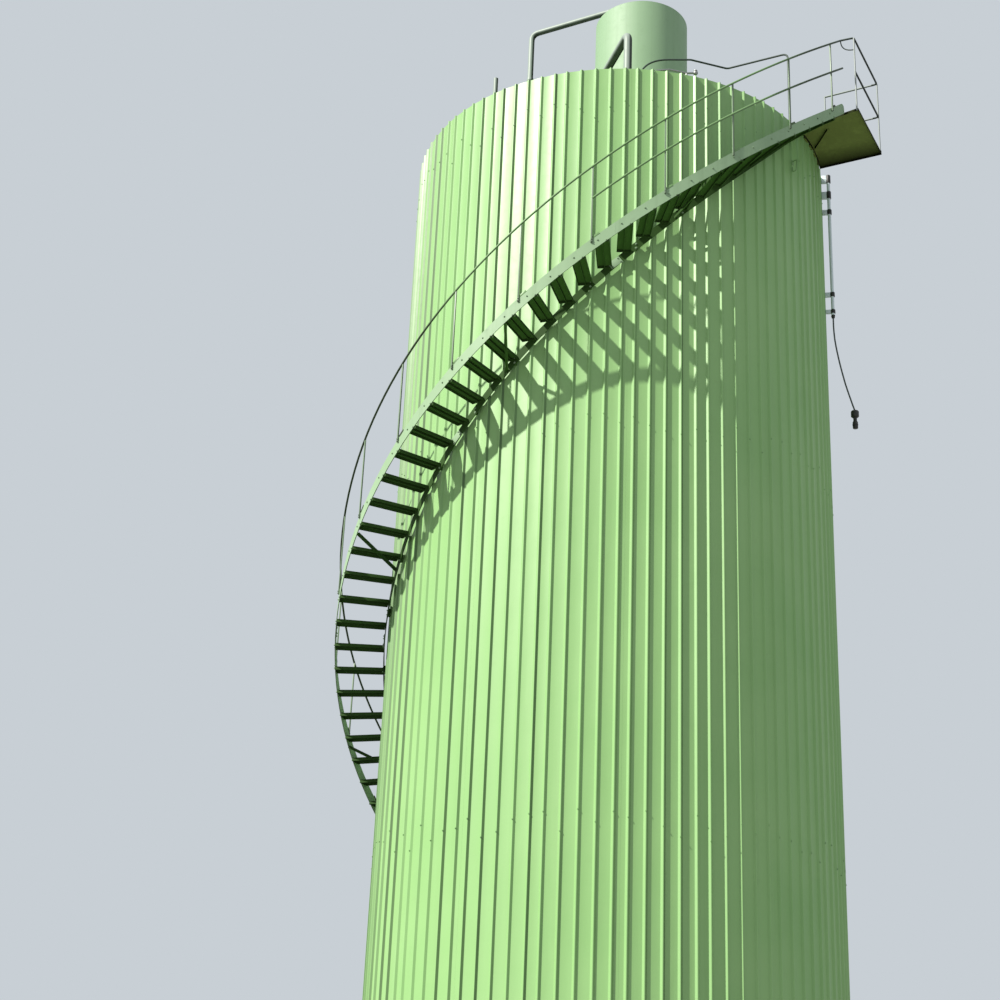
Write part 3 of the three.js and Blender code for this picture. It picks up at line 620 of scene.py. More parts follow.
@dataclass(frozen=True)
class Metal:
    """Bare or zinc-coated steel, with spangle and rust.

    Attributes:
        name: the material's name.
        colour: its colour where it is clean.
        rust: how far rust has spread.
        roughness: its roughness where it is clean.
        spangle: how many zinc crystals lie along a metre, or 0 for none.
    """

    name: str
    colour: Colour
    rust: float = 0.1
    roughness: float = 0.45
    spangle: float = 0.0

    def build(self) -> bpy.types.Material:
        """Makes the material.

        Returns:
            The material.
        """
        graph = Graph(self.name)
        place = graph.place()
        clouds = graph.noise(place, 1.3, 5, 0.6)
        fine = graph.noise(place, 34.0, 4, 0.6)
        mottled = graph.blend(fine.step(0.4, 0.7) * 0.35, self.colour, DULL_STEEL)
        rusted = graph.blend(fine, RUST_DARK, RUST_BRIGHT)
        edge = 0.62 - 0.12 * self.rust
        spots = (clouds * 0.6 + fine * 0.4).step(edge, edge + 0.08)
        colour = graph.blend(spots * min(1.0, 2 * self.rust), mottled, rusted)
        rough = self.roughness + spots * 0.35 + (fine - 0.5) * 0.15
        if self.spangle:
            vector = graph.place((self.spangle, self.spangle, self.spangle))
            cells = graph.node("ShaderNodeTexVoronoi", None, {"Vector": vector, "Scale": 1.0})
            grey = graph.node("ShaderNodeRGBToBW", None, {0: cells.outputs["Color"]})
            bright = Value(graph, grey.outputs[0])
            rough = rough + (bright - 0.5) * 0.12
            colour = graph.blend(bright * 0.18, colour, BRIGHT_ZINC)
        return graph.close({
            "Base Color": colour,
            "Metallic": 0.85 - spots * 0.8,
            "Roughness": rough,
            "Normal": graph.bump(fine, 0.001, 0.4),
        })


@dataclass(frozen=True)
class Moulded:
    """Dull dark rubber or plastic, with dust on what faces up."""

    name: str
    colour: Colour
    roughness: float = 0.6

    def build(self) -> bpy.types.Material:
        """Makes the material.

        Returns:
            The material.
        """
        graph = Graph(self.name)
        fine = graph.noise(graph.place(), 60.0, 4, 0.6)
        up = graph.parts(graph.facing())[2]
        dust = up.step(0.1, 0.9) * 0.35 + fine.step(0.5, 0.75) * 0.15
        return graph.close({
            "Base Color": graph.blend(dust, self.colour, DUST),
            "Roughness": self.roughness + dust * 0.3,
            "Normal": graph.bump(fine, 0.0006, 0.5),
        })


@dataclass(frozen=True)
class Plain:
    """The pale studio floor, a little cloudy."""

    name: str
    colour: Colour
    darker: Colour

    def build(self) -> bpy.types.Material:
        """Makes the material.

        Returns:
            The material.
        """
        graph = Graph(self.name)
        clouds = graph.noise(graph.place(), 0.8, 4)
        colour = graph.blend(clouds, self.colour, self.darker)
        return graph.close({"Base Color": colour, "Roughness": 0.85})


class Part:
    """A small part in its own frame, made by bmesh operators and copied into pieces."""

    def __init__(self, name: str, mesh: bmesh.types.BMesh) -> None:
        """Makes the part's mesh.

        Args:
            name: the part's name.
            mesh: its shape, which is freed.
        """
        bmesh.ops.recalc_face_normals(mesh, faces=mesh.faces)
        self.mesh = bpy.data.meshes.new(name)
        mesh.to_mesh(self.mesh)
        mesh.free()


def round_off(
    mesh: bmesh.types.BMesh,
    geometry: Iterable[object],
    width: float,
    segments: int = 2,
    affect: str = "EDGES",
) -> None:
    """Rounds edges or corners of a bmesh.

    Args:
        mesh: the bmesh.
        geometry: the edges or vertices.
        width: how far the rounding reaches.
        segments: how many faces it has.
        affect: "EDGES" or "VERTICES".
    """
    bmesh.ops.bevel(
        mesh,
        geom=list(geometry),
        offset=width,
        segments=segments,
        affect=affect,
        profile=0.5,
        material=-1,
    )


def add_cone(
    mesh: bmesh.types.BMesh,
    radii: tuple[float, float],
    depth: float,
    low: float,
    sides: int,
) -> None:
    """Adds an upright cone or cylinder that is closed at both ends.

    Args:
        mesh: what it is added to.
        radii: its radius at the foot and at the top.
        depth: its height.
        low: where its foot is.
        sides: how many sides it has.
    """
    bmesh.ops.create_cone(
        mesh,
        cap_ends=True,
        segments=sides,
        radius1=radii[0],
        radius2=radii[1],
        depth=depth,
        matrix=lift(low + depth / 2),
    )


def block(size: Sequence[float], round_by: float = EDGE) -> Part:
    """Shapes a rounded block about its own middle.

    Args:
        size: its size along X, Y and Z.
        round_by: how far its edges are rounded.

    Returns:
        The block.
    """
    mesh = bmesh.new()
    bmesh.ops.create_cube(mesh, size=1.0)
    bmesh.ops.scale(mesh, vec=Vector(size), verts=mesh.verts)
    round_off(mesh, mesh.edges, round_by)
    return Part("block", mesh)


def disc(radius: float, thickness: float, sides: int = 24, round_by: float = 0.0015) -> Part:
    """Shapes an upright disc or short cylinder, its underside at the origin.

    Args:
        radius: its radius.
        thickness: its height.
        sides: how many sides it has.
        round_by: how far its rims are rounded.

    Returns:
        The disc.
    """
    mesh = bmesh.new()
    add_cone(mesh, (radius, radius), thickness, 0, sides)
    rims = [edge for edge in mesh.edges if abs(edge.verts[0].co.z - edge.verts[1].co.z) < 1e-6]
    round_off(mesh, rims, round_by)
    return Part("disc", mesh)


def bolt(radius: float) -> Part:
    """Shapes a hexagon head with its washer and the end of its shank, upright from the origin.

    Args:
        radius: the head's radius.

    Returns:
        The bolt.
    """
    mesh = bmesh.new()
    # Sides, radius, height and foot of the washer, the head and the shank, in radii of the head
    for sides, wide, depth, low in ((12, 1.55, 0.25, 0.0), (6, 1.0, 0.75, 0.25), (8, 0.5, 0.35, 1.0)):
        radii = (wide * radius, 0.93 * wide * radius)
        add_cone(mesh, radii, depth * radius, low * radius, sides)
    return Part("bolt", mesh)


def tread_pan(length: float, depth: float, lip: float, sheet: float) -> Part:
    """Shapes a tread folded from sheet, open below, with a bar under its middle.

    Args:
        length: its length between the stringers.
        depth: its size from front to back.
        lip: how far its edges are turned down.
        sheet: the thickness of the sheet.

    Returns:
        The tread, with its top at the origin's height.
    """
    fold, bar_width, bar_foot = 0.006, 0.006, -0.8 * lip
    mesh = bmesh.new()
    bmesh.ops.create_cube(mesh, size=1.0, matrix=lift(-0.5))
    bmesh.ops.scale(mesh, vec=Vector((length, depth, lip)), verts=mesh.verts)
    floor = [face for face in mesh.faces if face.calc_center_median().z < -0.99 * lip]
    bmesh.ops.delete(mesh, geom=floor, context="FACES_ONLY")
    round_off(mesh, [edge for edge in mesh.edges if not edge.is_boundary], fold)
    bmesh.ops.recalc_face_normals(mesh, faces=mesh.faces)
    bmesh.ops.solidify(mesh, geom=mesh.faces[:], thickness=sheet)
    middle = (bar_foot - sheet) / 2
    bar = bmesh.ops.create_cube(mesh, size=1.0, matrix=lift(middle))["verts"]
    bmesh.ops.scale(mesh, vec=Vector((length - 2 * sheet, bar_width, 1)), verts=bar)
    for vertex in bar:
        vertex.co.z = -sheet if vertex.co.z > middle else bar_foot
    return Part("tread_pan", mesh)


def angle_bar(length: float, width: float, thickness: float) -> Part:
    """Shapes an angle bar along X about its own middle.

    Args:
        length: its length.
        width: the width of both its flanges.
        thickness: their thickness.

    Returns:
        The bar.
    """
    half = width / 2
    fold = half - thickness
    corners = ((-half, half), (half, half), (half, fold), (-fold, fold), (-fold, -half), (-half, -half))
    mesh = bmesh.new()
    face = mesh.faces.new([mesh.verts.new((-length / 2, y, z)) for y, z in corners])
    pulled = bmesh.ops.extrude_face_region(mesh, geom=[face])["geom"]
    bmesh.ops.translate(mesh, vec=Vector((length, 0, 0)), verts=pick(pulled, bmesh.types.BMVert))
    return Part("angle_bar", mesh)


class Piece:
    """One piece of the object under construction."""

    def __init__(self, name: str) -> None:
        """Starts an empty piece."""
        self.name = name
        self.mesh = bmesh.new()

    def add(self, part: Part, place: Matrix) -> None:
        """Copies a part to a place.

        Args:
            part: the part.
            place: the frame that it is put in.
        """
        copy = part.mesh.copy()
        copy.transform(place)
        self.mesh.from_mesh(copy)
        bpy.data.meshes.remove(copy)

    def add_each(
        self,
        part: Part,
        place: Matrix,
        spots: Iterable[Sequence[float]],
        turn: Matrix = Matrix(),
    ) -> None:
        """Copies a part to several spots in the frame of one place, turned there."""
        for spot in spots:
            self.add(part, place @ Matrix.Translation(spot) @ turn)

    def sweep(self, points: Sequence[Vector], radius: float, sides: int = 12) -> None:
        """Adds a round bar that is closed at both ends.

        Args:
            points: the points along its line.
            radius: its radius.
            sides: how many sides it has.
        """
        legs = [(after - before).normalized() for before, after in zip(points, points[1:])]
        means = [(one + two).normalized() for one, two in zip(legs, legs[1:])]
        directions = [legs[0], *means, legs[-1]]
        turn = Vector((0, 0, 1)).rotation_difference(directions[0]).to_matrix().to_4x4()
        ring = bmesh.ops.create_circle(
            self.mesh,
            cap_ends=True,
            segments=sides,
            radius=radius,
            matrix=Matrix.Translation(points[0]) @ turn,
        )["verts"]
        edges = list(dict.fromkeys(edge for vertex in ring for edge in vertex.link_edges))
        for i in range(1, len(points)):
            pulled = bmesh.ops.extrude_edge_only(self.mesh, edges=edges)["geom"]
            edges = [edge for edge in pick(pulled, bmesh.types.BMEdge) if edge.is_boundary]
            swing = directions[i - 1].rotation_difference(directions[i]).to_matrix().to_4x4()
            move = Matrix.Translation(points[i]) @ swing @ Matrix.Translation(-points[i - 1])
            bmesh.ops.transform(self.mesh, matrix=move, verts=pick(pulled, bmesh.types.BMVert))
        bmesh.ops.contextual_create(self.mesh, geom=edges)

    def lathe(self, profile: Sequence[tuple[float, float]], steps: int, centre: Vector) -> None:
        """Adds a body turned about an upright line.

        Args:
            profile: radius and height pairs.
            steps: how many steps the turn has.
            centre: a point of the line, from which the heights count.
        """
        verts = [self.mesh.verts.new(centre + Vector((radius, 0, height))) for radius, height in profile]
        edges = [self.mesh.edges.new(pair) for pair in zip(verts, verts[1:])]
        bmesh.ops.spin(
            self.mesh,
            geom=verts + edges,
            cent=centre,
            axis=(0, 0, 1),
            angle=math.tau,
            steps=steps,
            use_merge=True,
        )
        bmesh.ops.remove_doubles(self.mesh, verts=self.mesh.verts, dist=1e-5)

    def helix(self, section: Sequence[tuple[float, float]], start: float, end: float) -> None:
        """Adds a bar that climbs with the stair.

        Args:
            section: radius and height over the tread line of each corner.
            start: the azimuth where it starts.
            end: the azimuth where it ends.
        """
        verts = [self.mesh.verts.new(on_stair(radius, start, rise)) for radius, rise in section]
        steps = climb_steps(start, end)
        bmesh.ops.spin(
            self.mesh,
            geom=[self.mesh.faces.new(verts)],
            cent=(0, 0, 0),
            axis=(0, 0, 1),
            dvec=(0, 0, (climb(end) - climb(start)) / steps),
            angle=math.radians(end - start),
            steps=steps,
            use_merge=False,
        )

    def prism(self, outline: Sequence[Vector], low: float, high: float) -> bmesh.types.BMFace:
        """Adds an upright prism.

        Args:
            outline: its outline in plan.
            low: the height of its underside.
            high: the height of its top.

        Returns:
            The face of its underside.
        """
        face = self.mesh.faces.new([self.mesh.verts.new((point.x, point.y, low)) for point in outline])
        pulled = bmesh.ops.extrude_face_region(self.mesh, geom=[face], use_keep_orig=False)["geom"]
        rise = Vector((0, 0, high - low))
        bmesh.ops.translate(self.mesh, vec=rise, verts=pick(pulled, bmesh.types.BMVert))
        return face

    def cut_off_foot(self) -> None:
        """Cuts off what is below the ground, and closes the cut."""
        cut = self.mesh.verts[:] + self.mesh.edges[:] + self.mesh.faces[:]
        made = bmesh.ops.bisect_plane(self.mesh, geom=cut, plane_no=(0, 0, 1), clear_inner=True)
        bmesh.ops.holes_fill(self.mesh, edges=pick(made["geom_cut"], bmesh.types.BMEdge))

    def finish(
        self,
        material: bpy.types.Material,
        replaces: Iterable[str] = (),
        crease: float = 32,
    ) -> bpy.types.Object:
        """Makes the piece's object, which rides on the fixed body.

        Args:
            material: its material.
            replaces: the nodes that it stands for.
            crease: the angle in degrees past which an edge stays sharp.

        Returns:
            The object.
        """
        bmesh.ops.recalc_face_normals(self.mesh, faces=self.mesh.faces)
        data = bpy.data.meshes.new(self.name)
        self.mesh.to_mesh(data)
        self.mesh.free()
        data.polygons.foreach_set("use_smooth", [True] * len(data.polygons))
        data.set_sharp_from_angle(angle=math.radians(crease))
        data.materials.append(material)
        made = bpy.data.objects.new(self.name, data)
        bpy.context.scene.collection.objects.link(made)
        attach(made, "root")
        names = list(replaces)
        if names:
            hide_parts(*names)
        LOG.info("%s: %d faces", self.name, len(data.polygons))
        return made


@dataclass
class ViewCamera:
    """The camera, at the photograph's viewing angle."""

    height: float = 1.606
    distance: float = 22.401
    turn: float = -0.0705
    tilt: float = 0.3995
    roll: float = 0.0452
    lens: float = 62.712
    sight: float = 300.0

    def build(self) -> None:
        """Makes the camera and hands it to the scene."""
        forward = Vector((
            math.sin(self.turn) * math.cos(self.tilt),
            math.cos(self.turn) * math.cos(self.tilt),
            math.sin(self.tilt),
        ))
        right = Vector((math.cos(self.turn), -math.sin(self.turn), 0))
        up = right.cross(forward)
        cosine, sine = math.cos(self.roll), math.sin(self.roll)
        across = cosine * right + sine * up
        upright = cosine * up - sine * right
        data = bpy.data.cameras.new("camera")
        data.lens = self.lens
        data.clip_end = self.sight
        camera = bpy.data.objects.new("camera", data)
        bpy.context.scene.collection.objects.link(camera)
        place = Matrix((across, upright, -forward)).transposed().to_4x4()
        place.translation = (0, -self.distance, self.height)
        camera.matrix_world = place
        bpy.context.scene.camera = camera


@dataclass
class Studio:
    """A pale floor, a pale surround and one key light from the left."""

    floor_radius: float = 90.0
    floor_sides: int = 96
    floor_colour: Colour = linear(158, 158, 154)
    floor_contrast: float = 0.94
    surround_colour: Colour = linear(200, 207, 213)
    key_azimuth: float = -58.6
    key_elevation: float = 40.4
    key_strength: float = 7.8
    key_softness: float = 1.2
    key_colour: tuple[float, float, float] = (1.0, 0.965, 0.89)

    def floor(self) -> None:
        """Makes the floor."""
        mesh = bmesh.new()
        bmesh.ops.create_circle(mesh, cap_ends=True, segments=self.floor_sides, radius=self.floor_radius)
        data = bpy.data.meshes.new("studio_floor")
        mesh.to_mesh(data)
        mesh.free()
        darker = (*(self.floor_contrast * channel for channel in self.floor_colour[:3]), 1.0)
        data.materials.append(Plain("floor", self.floor_colour, darker).build())
        floor = bpy.data.objects.new("studio_floor", data)
        bpy.context.scene.collection.objects.link(floor)

    def build(self) -> None:
        """Makes the floor, the surround and the light."""
        self.floor()
        world = bpy.data.worlds.new("surround")
        world.use_nodes = True
        world.node_tree.nodes["Background"].inputs["Color"].default_value = self.surround_colour
        bpy.context.scene.world = world
        light = bpy.data.lights.new("key", "SUN")
        light.energy = self.key_strength
        light.angle = math.radians(self.key_softness)
        light.color = self.key_colour
        key = bpy.data.objects.new("key", light)
        bpy.context.scene.collection.objects.link(key)
        elevation = math.radians(self.key_elevation)
        towards = polar(math.cos(elevation), self.key_azimuth, math.sin(elevation))
        key.rotation_mode = "QUATERNION"
        key.rotation_quaternion = towards.to_track_quat("Z", "Y")
        bpy.context.scene.view_settings.view_transform = "Standard"


class Finishes:
    """Every finish of the object, built once."""

    def __init__(self) -> None:
        """Builds the materials."""
        green, faded, grime_and_shade = linear(118, 160, 98), linear(130, 168, 109), linear(84, 104, 56)
        self.wall = Paint(
            "wall_paint", green, faded, grime_and_shade,
            roughness=0.46, grime_share=0.25, coat=0.12, specular=0.42, sheets=True, wave=0.006,
        ).build()
        self.roof = Paint("roof_paint", green, faded, grime_and_shade, roughness=0.7, specular=0.35).build()
        self.turret = Paint(
            "turret_paint", linear(121, 149, 116), linear(132, 158, 128), linear(78, 94, 68),
            roughness=0.6, specular=0.4,
        ).build()
        # Painted shade: the faces that look down take its dark dirt colour.
        self.stair = Paint(
            "stair_paint", linear(122, 148, 115), linear(133, 158, 127), linear(36, 50, 12),
            roughness=0.55, underside=0.9, chips=0.5, coat=0.03, specular=0.25,
        ).build()
        # Painted light: near black on the deck's edges, skirts and closers, as painted shade; the faces
        # that look down take the olive colour, a painted reflection of the ground; and darker towards the
        # far edge, painted shade.
        self.deck = Paint(
            "deck_paint", linear(26, 31, 12), linear(32, 37, 16), linear(106, 121, 64),
            roughness=0.85, grime_share=0.8, underside=0.96, chips=0.2, specular=0.06,
            shade_drift=(156.0, 0.15, 0.56),
        ).build()
        # Painted shade: dark on the treads' lips and on the inner stringer, while the faces that look down
        # take the lighter colour; darker again below about nine metres.
        self.tread = Paint(
            "tread_paint", linear(36, 60, 22), linear(46, 72, 30), linear(66, 106, 44),
            roughness=0.7, grime_share=0.4, underside=0.96, chips=0.3, specular=0.12,
            low_shade=(9.0, 12.2),
        ).build()
        # Painted shade on its underside, and darker away from the front of the tank.
        self.rail = Paint(
            "rail_paint", linear(98, 130, 84), linear(110, 142, 96), linear(40, 54, 36),
            underside=0.6, chips=0.4, specular=0.25, shade_drift=(180.0, -3.25, -2.75),
        ).build()
        # The rail paint in shade: painted shade, for rails seen dark against the sky.
        self.shaded_rail = Paint(
            "shaded_rail_paint", linear(56, 66, 62), linear(66, 76, 70), linear(24, 30, 28),
            grime_share=0.6, underside=0.8, chips=0.5, specular=0.2,
        ).build()
        # Painted shade on its lee sides and undersides.
        self.post = Paint(
            "post_paint", linear(104, 122, 100), linear(116, 134, 112), linear(54, 66, 50),
            underside=0.8, lee=0.7, chips=0.5, specular=0.3,
        ).build()
        # A pale copy lit by the sun: painted sunlight on the landing's posts and the rail lengths back to
        # the wall, with painted shade on their lee sides and undersides.
        self.sunlit_landing_post = Paint(
            "sunlit_landing_post_paint", linear(126, 134, 132), linear(138, 144, 142), linear(74, 80, 76),
            underside=0.8, lee=0.6, chips=0.5, specular=0.3,
        ).build()
        # Painted shade: its lee sides and undersides take the near black dirt colour.
        self.pipe = Paint(
            "pipe_paint", linear(128, 139, 131), linear(136, 147, 139), linear(22, 30, 24),
            underside=0.97, lee=0.97, chips=0.5, specular=0.2,
        ).build()
        self.conduit = Paint(
            "conduit_paint", linear(196, 208, 212), linear(188, 200, 206), linear(110, 118, 116),
            grime_share=0.4, specular=0.3,
        ).build()
        self.screw = Paint("screw_paint", linear(84, 122, 72), faded, grime_and_shade, grime_share=0.25).build()
        self.steel = Metal("bare_steel", linear(150, 152, 150), rust=0.5).build()
        self.zinc = Metal("galvanised", linear(176, 182, 184), rust=0.05, spangle=60).build()
        self.cable = Moulded("cable_sheath", linear(62, 70, 70)).build()
        self.fitting = Moulded("fitting_housing", linear(24, 25, 24), roughness=0.5).build()


@dataclass
class HangingCable:
    """The cable that hangs from the conduit's gland, and the fitting on its end."""

    finishes: Finishes
    radius: float = 0.011
    sides: int = 16
    crease: float = 50.0
    line: tuple[tuple[float, float], ...] = (
        (3.100, 13.8097),
        (3.100, 13.745),
        (3.100, 13.680),
        (3.1023, 13.600),
        (3.1065, 13.525),
        (3.112, 13.450),
        (3.1227, 13.360),
        (3.1355, 13.270),
        (3.1495, 13.182),
        (3.164, 13.095),
        (3.181, 13.005),
        (3.1985, 12.917),
        (3.217, 12.828),
        (3.236, 12.740),
        (3.2565, 12.660),
        (3.2775, 12.580),
        (3.2995, 12.500),
        (3.321, 12.420),
        (3.334, 12.377),
        (3.346, 12.335),
        (3.346, 12.270),
        (3.346, 12.190),
    )
    fitting_profile: tuple[tuple[float, float], ...] = (
        (0.0, -0.275),
        (0.020, -0.275),
        (0.0345, -0.268),
        (0.037, -0.258),
        (0.037, -0.178),
        (0.033, -0.170),
        (0.026, -0.160),
        (0.025, -0.132),
        (0.028, -0.104),
        (0.048, -0.095),
        (0.055, -0.086),
        (0.055, -0.018),
        (0.050, -0.008),
        (0.040, -0.002),
        (0.018, 0.0),
        (0.0, 0.0),
    )
    fitting_sides: int = 32
    ring_radius: float = 0.0405
    ring_height: float = 0.012
    ring_drop: float = 0.222

    def build(self) -> None:
        route = [polar(radius, CONDUIT_AZIMUTH, height) for radius, height in self.line]
        cable = Piece("cable")
        cable.sweep(route, self.radius, self.sides)
        sheath = cable.finish(self.finishes.cable, ["hanging_cable"], self.crease)
        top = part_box("cable_fitting")[1].z
        end = polar(self.line[-1][0], CONDUIT_AZIMUTH, top)
        fitting = Piece("fitting")
        fitting.lathe(self.fitting_profile, self.fitting_sides, end)
        ring = disc(self.ring_radius, self.ring_height, self.fitting_sides)
        fitting.add(ring, Matrix.Translation(end) @ lift(-self.ring_drop))
        housing = fitting.finish(self.finishes.fitting, ["cable_fitting"])


@dataclass
class Cladding:
    """The ribbed sheets round the tank, the screws that hold them and the hook on them."""

    finishes: Finishes
    crest_width: float = 0.012
    flank_run: float = 0.020
    sheet: float = 0.003
    corner: float = 0.003
    corner_steps: int = 3
    crease: float = 28.0
    foot: float = 0.0123
    panel_gap: float = 0.012
    screw_heights: tuple[float, ...] = (0.20, 0.93, 5.93, 10.93, 15.55)
    screw_spread: float = 0.17
    screw_seed: int = 4
    screw_radius: float = 0.007
    screw_sunk: float = 0.0005
    hook_azimuth: float = 53.0
    hook_top: float = 15.50
    hook_drop: float = 0.19
    hook_tip: float = 0.076
    hook_turn: float = 0.6
    hook_reach: float = 0.075
    hook_gap: float = 0.018
    hook_radius: float = 0.008
    hook_sides: int = 10
    hook_bend: float = 0.022
    hook_bend_steps: int = 5
    hook_plate: tuple[float, float, float] = (0.008, 0.050, 0.070)
    hook_plate_drop: float = 0.020

    def panel(self, number: int, start: float, end: float, ribs: list[float]) -> None:
        """Makes one panel: the ribbed line is rounded at its folds, pulled up and given its thickness.

        Args:
            number: the panel's number.
            start: the azimuth where it starts.
            end: the azimuth where it ends.
            ribs: the azimuths of its ribs.
        """
        crest_half = math.degrees(self.crest_width / 2 / CREST_RADIUS)
        foot_half = math.degrees((self.crest_width / 2 + self.flank_run) / CREST_RADIUS)
        folds = (
            (VALLEY_RADIUS, -foot_half),
            (CREST_RADIUS, -crest_half),
            (CREST_RADIUS, crest_half),
            (VALLEY_RADIUS, foot_half),
        )
        line = [polar(VALLEY_RADIUS, start, self.foot)]
        line += [polar(radius, rib + turn, self.foot) for rib in ribs for radius, turn in folds]
        line.append(polar(VALLEY_RADIUS, end, self.foot))
        piece = Piece(f"cladding_{number:02d}")
        mesh = piece.mesh
        verts = [mesh.verts.new(point) for point in line]
        for pair in zip(verts, verts[1:]):
            mesh.edges.new(pair)
        round_off(mesh, verts[1:-1], self.corner, self.corner_steps, "VERTICES")
        pulled = bmesh.ops.extrude_edge_only(mesh, edges=mesh.edges[:])["geom"]
        rise = Vector((0, 0, RIM_HEIGHT - self.foot))
        bmesh.ops.translate(mesh, vec=rise, verts=pick(pulled, bmesh.types.BMVert))
        bmesh.ops.recalc_face_normals(mesh, faces=mesh.faces)
        outward = polar(1, (start + end) / 2, 0)
        if sum(face.normal.dot(outward) * face.calc_area() for face in mesh.faces) < 0:
            bmesh.ops.reverse_faces(mesh, faces=mesh.faces)
        bmesh.ops.solidify(mesh, geom=mesh.faces[:], thickness=self.sheet)
        piece.finish(self.finishes.wall, [f"cladding_panel_{number:02d}"], self.crease)

    def screws(self, sheets: list[Sheet]) -> None:
        """Makes the screws, one on each rib near each girt.

        Args:
            sheets: the sheets.
        """
        chance = random.Random(self.screw_seed)
        head = bolt(self.screw_radius)
        piece = Piece("cladding_screws")
        for rib in (rib for _, _, ribs in sheets for rib in ribs):
            for height in self.screw_heights:
                rise = chance.uniform(-self.screw_spread, self.screw_spread)
                piece.add(head, stand(CREST_RADIUS - self.screw_sunk, rib, height + rise) @ OUTWARD)
        piece.finish(self.finishes.screw)

    def hook(self) -> None:
        """Makes the small hook on the wall under the landing."""
        piece = Piece("wall_hook")
        face = CREST_RADIUS + self.hook_plate[0] / 2
        low = self.hook_top - self.hook_drop
        turned = self.hook_azimuth - self.hook_turn
        plate = stand(face, self.hook_azimuth, self.hook_top - self.hook_plate_drop)
        piece.add(block(self.hook_plate, SOFT_EDGE), plate)
        corners = [
            polar(face, self.hook_azimuth, self.hook_top),
            polar(CREST_RADIUS + self.hook_reach, self.hook_azimuth, self.hook_top),
            polar(CREST_RADIUS + self.hook_reach, turned, low),
            polar(CREST_RADIUS + self.hook_gap, turned, low),
            polar(CREST_RADIUS + self.hook_gap, turned, low + self.hook_tip),
        ]
        line = rounded(corners, self.hook_bend, self.hook_bend_steps)
        piece.sweep(line, self.hook_radius, self.hook_sides)
        piece.finish(self.finishes.screw)

    def build(self) -> None:
        """Makes the panels, two sheets to each, then the screws and the hook."""
        sheets = sheet_plan()
        for number, (first, second) in enumerate(zip(sheets[::2], sheets[1::2]), 1):
            start = first[0] + self.panel_gap / 2
            end = second[1] - self.panel_gap / 2
            self.panel(number, start, end, first[2] + second[2])
        self.screws(sheets)
        self.hook()


